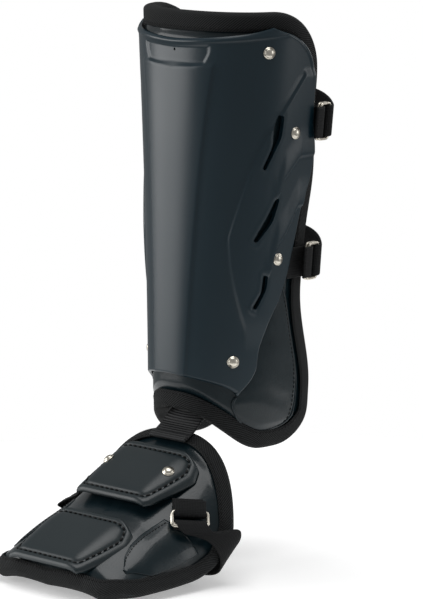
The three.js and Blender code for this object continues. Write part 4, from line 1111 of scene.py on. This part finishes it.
# The webbing's colour follows its weft and warp ribs, near black in the grooves and grey on the ribs: painted
# shade and sheen on the weave, with a little random fuzz.
nylon.dress(weft * 0.75 + warp * 0.2 + fuzz * 0.05, (0.0010, 0.0011, 0.0012), (0.0380, 0.0395, 0.0420),
            fuzz * 0.2 + 0.5, weft * 0.7 + warp * 0.2 + fuzz * 0.1, 0.0007, 0.8)
finish(webbing, nylon, ["ankle_webbing"])

# Instep plates: two thick moulded plates with a raised, bevelled middle and a thin flange all
# round, which is sewn down to the pad. The upper plate also has a rivet at each side.
plate_length, plate_half, plate_wall, plate_lift = 66, 50, 3.2, 3
plate_width_rows = [(0, 0.5), (0.07, 0.78), (0.14, 0.93), (0.3, 1), (0.6, 0.93), (0.87, 0.84), (0.93, 0.82),
                    (1, 0.76)]


def plate_frame(rear, front):
    """A plate's start, its direction forwards and its normal, over two places on the instep's ridge."""
    start = on_instep(0.0, rear, gap + plate_wall)
    end = on_instep(0.0, front, gap + 2 * plate_lift + plate_wall)
    along = unit(end - start)
    normal = np.cross([1.0, 0, 0], along)
    return start, along, normal * np.sign(normal[2])


def on_plate(place, share, x, above):
    """Points over a plate, at a share of its length and x mm aside, with its sides bent down."""
    start, along, normal = place
    beyond = np.maximum(0, np.abs(x) / plate_half - 0.54) / 0.46
    return start + along * (share * plate_length)[..., None] \
        + normal * (above - 12 * beyond ** 2)[..., None] + np.stack([x, 0 * x, 0 * x], -1)


def rounded_width(share):
    return plate_half * np.interp(share, *np.array(plate_width_rows).T)


plate_shares = np.concatenate([[0, 0.004, 0.012], np.linspace(0.03, 0.97, 61), [0.988, 0.996, 1]])
plate_across = np.concatenate([[-1, -0.992, -0.98], np.linspace(-0.96, 0.96, 97), [0.98, 0.992, 1]])
share_grid, across_grid = np.meshgrid(plate_shares, plate_across, indexing="ij")
width_grid = softened(rounded_width(plate_shares), 2, closed=False)[:, None]
x_grid = across_grid * width_grid
end_gap = np.minimum(share_grid, 1 - share_grid) * plate_length
side_gap = (1 - np.abs(across_grid)) * width_grid
edge_gap = ((end_gap + 0.01) ** -3.0 + (side_gap + 0.01) ** -3.0) ** (-1 / 3)
groove, groove_depth, groove_width = 6.6, 0.9, 1.1
edge_roll, edge_drop, edge_round = 0.7, 1.6, 1.8
middle_rise, middle_run = 2.0, 4.2
rolled_edge = edge_roll * np.sin(np.pi * np.clip(edge_gap / groove, 0, 1))
rolled_edge -= edge_drop * (1 - np.clip(edge_gap / edge_round, 0, 1)) ** 2
sewn_groove = -groove_depth * np.exp(-(((edge_gap - groove) / groove_width) ** 2))
puffed = middle_rise * (1 - np.exp(-np.maximum(0, edge_gap - groove) / middle_run))
cushion = rolled_edge + sewn_groove + puffed
plate_paint = Paint("moulded_plate", Specular_IOR_Level=0.5)
haze = plate_paint.noise(22, 4)
tooth = plate_paint.noise(1500, 2)
plate_paint.dress(haze, (0.0050, 0.0120, 0.0150), (0.0080, 0.0165, 0.0200), haze * 0.16 + tooth * 0.08 + 0.28,
                  tooth * 0.5 + plate_paint.noise(300, 2) * 0.5, 0.00009, 0.4)

plate_seams, plate_places = [], {}
for name, rear, front in (("upper", 0.13, 0.48), ("lower", 0.6, 0.9)):
    place = plate_frame(rear, front)
    plate_places[name] = place
    top = on_plate(place, share_grid, x_grid, cushion)
    under = on_plate(place, share_grid, x_grid, np.full(x_grid.shape, -plate_wall))
    plate = slab(f"{name}_instep_plate", top, under)
    finish(plate, plate_paint, [f"instep_plate_{name}"])
    hem = groove / plate_length
    forwards, rightwards, still = np.linspace(hem, 1 - hem, 30), np.linspace(-1, 1, 30), np.ones(30)
    shares = np.concatenate([hem * still, forwards, (1 - hem) * still, forwards[::-1]])
    sides = np.concatenate([rightwards, still, rightwards[::-1], -still])
    inset = rounded_width(shares) - groove
    seam_line = softened(on_plate(place, shares, sides * inset, 0 * shares), 4)
    plate_seams.append((seam_line, np.broadcast_to(place[2], seam_line.shape), True))
sew("plate_stitches", plate_seams, pitch=5.6, length=4.2, width=1.5)

upper = plate_places["upper"]
plate_rivet_along, plate_rivet_across, plate_rivet_rise = 0.42, 0.7, 1.7
plate_rivet_seats, plate_rivet_axes = [], []
for side in (1, -1):
    x = side * rounded_width(plate_rivet_along) * np.array([plate_rivet_across, plate_rivet_across + 0.06])
    spot, beside = on_plate(upper, np.full(2, plate_rivet_along), x, np.full(2, plate_rivet_rise))
    axis = unit(np.cross(upper[1], beside - spot))
    plate_rivet_axes.append(axis * np.sign(axis[2]))
    plate_rivet_seats.append(spot)
rivet_heads("plate_rivet_heads", plate_rivet_seats, plate_rivet_axes, ["plate_rivet_outer", "plate_rivet_inner"])

# Side panels of the instep pad: puffed glossy leather wedges beside the plates, with a sewn
# seam along their upper edge.
panel_edge_rows = [(0.43, 0.49), (0.52, 0.475), (0.6, 0.475), (0.68, 0.5), (0.74, 0.56), (0.785, 0.68)]
edge_along, edge_across = np.array(panel_edge_rows).T
panel_rows, panel_columns = np.linspace(0, 1, 49), np.linspace(0, 1, 41)
panel_lift, panel_puff, panel_sunk = 0.4, 2.6, 0.6
row_along = edge_along[0] + (edge_along[-1] - edge_along[0]) * panel_rows
row_from = softened(np.interp(row_along, edge_along, edge_across), 4, closed=False)
row_end = 0.86 - 0.14 * ramp(row_along, 0.68, 0.8)
panel_across = row_from[:, None] + (row_end - row_from)[:, None] * panel_columns
panel_up = row_along[:, None] - 0.11 * panel_columns * (1 - panel_rows[:, None])
swell = [np.sqrt(np.sin(np.pi * np.clip(shares, 0.02, 0.98))) for shares in (panel_rows, panel_columns)]
panel_seams = []
hem = (slice(3, -3), 4)
for side, name in ((1, "outer"), (-1, "inner")):
    top = on_instep(side * panel_across, panel_up, panel_lift + panel_puff * np.outer(*swell))
    under = on_instep(side * panel_across, panel_up, np.full(panel_across.shape, -panel_sunk))
    panel = slab(f"instep_side_padding_{name}", top, under)
    finish(panel, leather, [f"instep_side_panel_{name}"])
    seam_up = instep_normal(side * panel_across[hem], panel_up[hem])
    panel_seams.append((top[hem] + 0.15 * seam_up, seam_up, False))
sew("side_panel_stitches", panel_seams, pitch=3.2, length=2.5)

# Foot strap: the same elastic and rings as at the calf. A tab on the outer side holds the
# rings, and the strap runs from them under the foot to the inner side.
seat_across, seat_along = 0.6, 0.31
tab_turn = math.radians(-22)
stand_off = 0.6 + strap_wall / 2 + tape_slack
seat = on_instep(seat_across, seat_along, stand_off)
normal = instep_normal(seat_across, seat_along)
downwards = unit(on_instep(seat_across + 0.05, seat_along, stand_off) - seat)
downwards = downwards * math.cos(tab_turn) + np.cross(normal, downwards) * math.sin(tab_turn)
lengthwise = unit(np.cross(normal, downwards))
sewn_spots = seat + downwards * np.array([-15, -11, -8, -4])[:, None]
sewn_places = nearest_on_instep(sewn_spots, np.tile([seat_across, seat_along], (len(sewn_spots), 1)))
near_bar = seat + normal * fold_radius
turned_back = near_bar + normal * fold_radius
tab_path = np.concatenate([
    on_instep(*sewn_places.T, np.full(len(sewn_spots), stand_off)), fold_round(near_bar, downwards, normal),
    [turned_back - downwards * d for d in tab_tail]])
strap_band("foot_ring_tab", tab_path, np.broadcast_to(lengthwise, tab_path.shape), ["foot_tab"])
ring_pair("foot", near_bar + downwards * bar_spacing / 2, normal, lengthwise, downwards)

far_bar = near_bar + downwards * bar_spacing
fold = fold_round(far_bar, -downwards, normal)
away = fold[-1] + downwards * 8
crossing = instep_point(1.0, 0.09)
sole = -instep_drop - instep_side_drop
guides = np.array([away] + [crossing + offset for offset in (
    (5.2, -2, 13), (5.4, 0.4, -4), (1.5, 1.5, -9.5), (-6, 1.5, -12), (-18, 1, -14))]
    + [(0.4 * instep_half, crossing[1], 0.4 * crossing[2] + 0.6 * sole)])
under_strap = softened(evenly(guides, guides, 4, closed=False), 9, closed=False)
mirrored = under_strap[::-1] * (-1, 1, 1)
inner_end = on_instep(-np.array([0.76, 0.72, 0.68, 0.64, 0.6]), 0.2, np.full(5, stand_off + 2 * tape_wall))
path = np.concatenate([[fold[0] + downwards * 3], fold, under_strap, mirrored, inner_end])
level = unit(np.array([0.0, -0.62, -0.78]))
outer_across, inner_across = [
    direction * np.sign(direction @ level) for direction in (lengthwise, lengthwise * (-1, 1, 1))]
places = np.arange(len(path))
outer_share = 1 - ramp(places - len(fold) - 1.0, -1, 17)[:, None]
inner_share = ramp(places - len(path) + 17.0, -1, 12)[:, None]
across = level * (1 - outer_share) + outer_across * outer_share
across = across * (1 - inner_share) + inner_across * inner_share
across = softened(unit(across), 6, closed=False)
strap_band("foot_elastic_strap", path, across, ["foot_strap"])
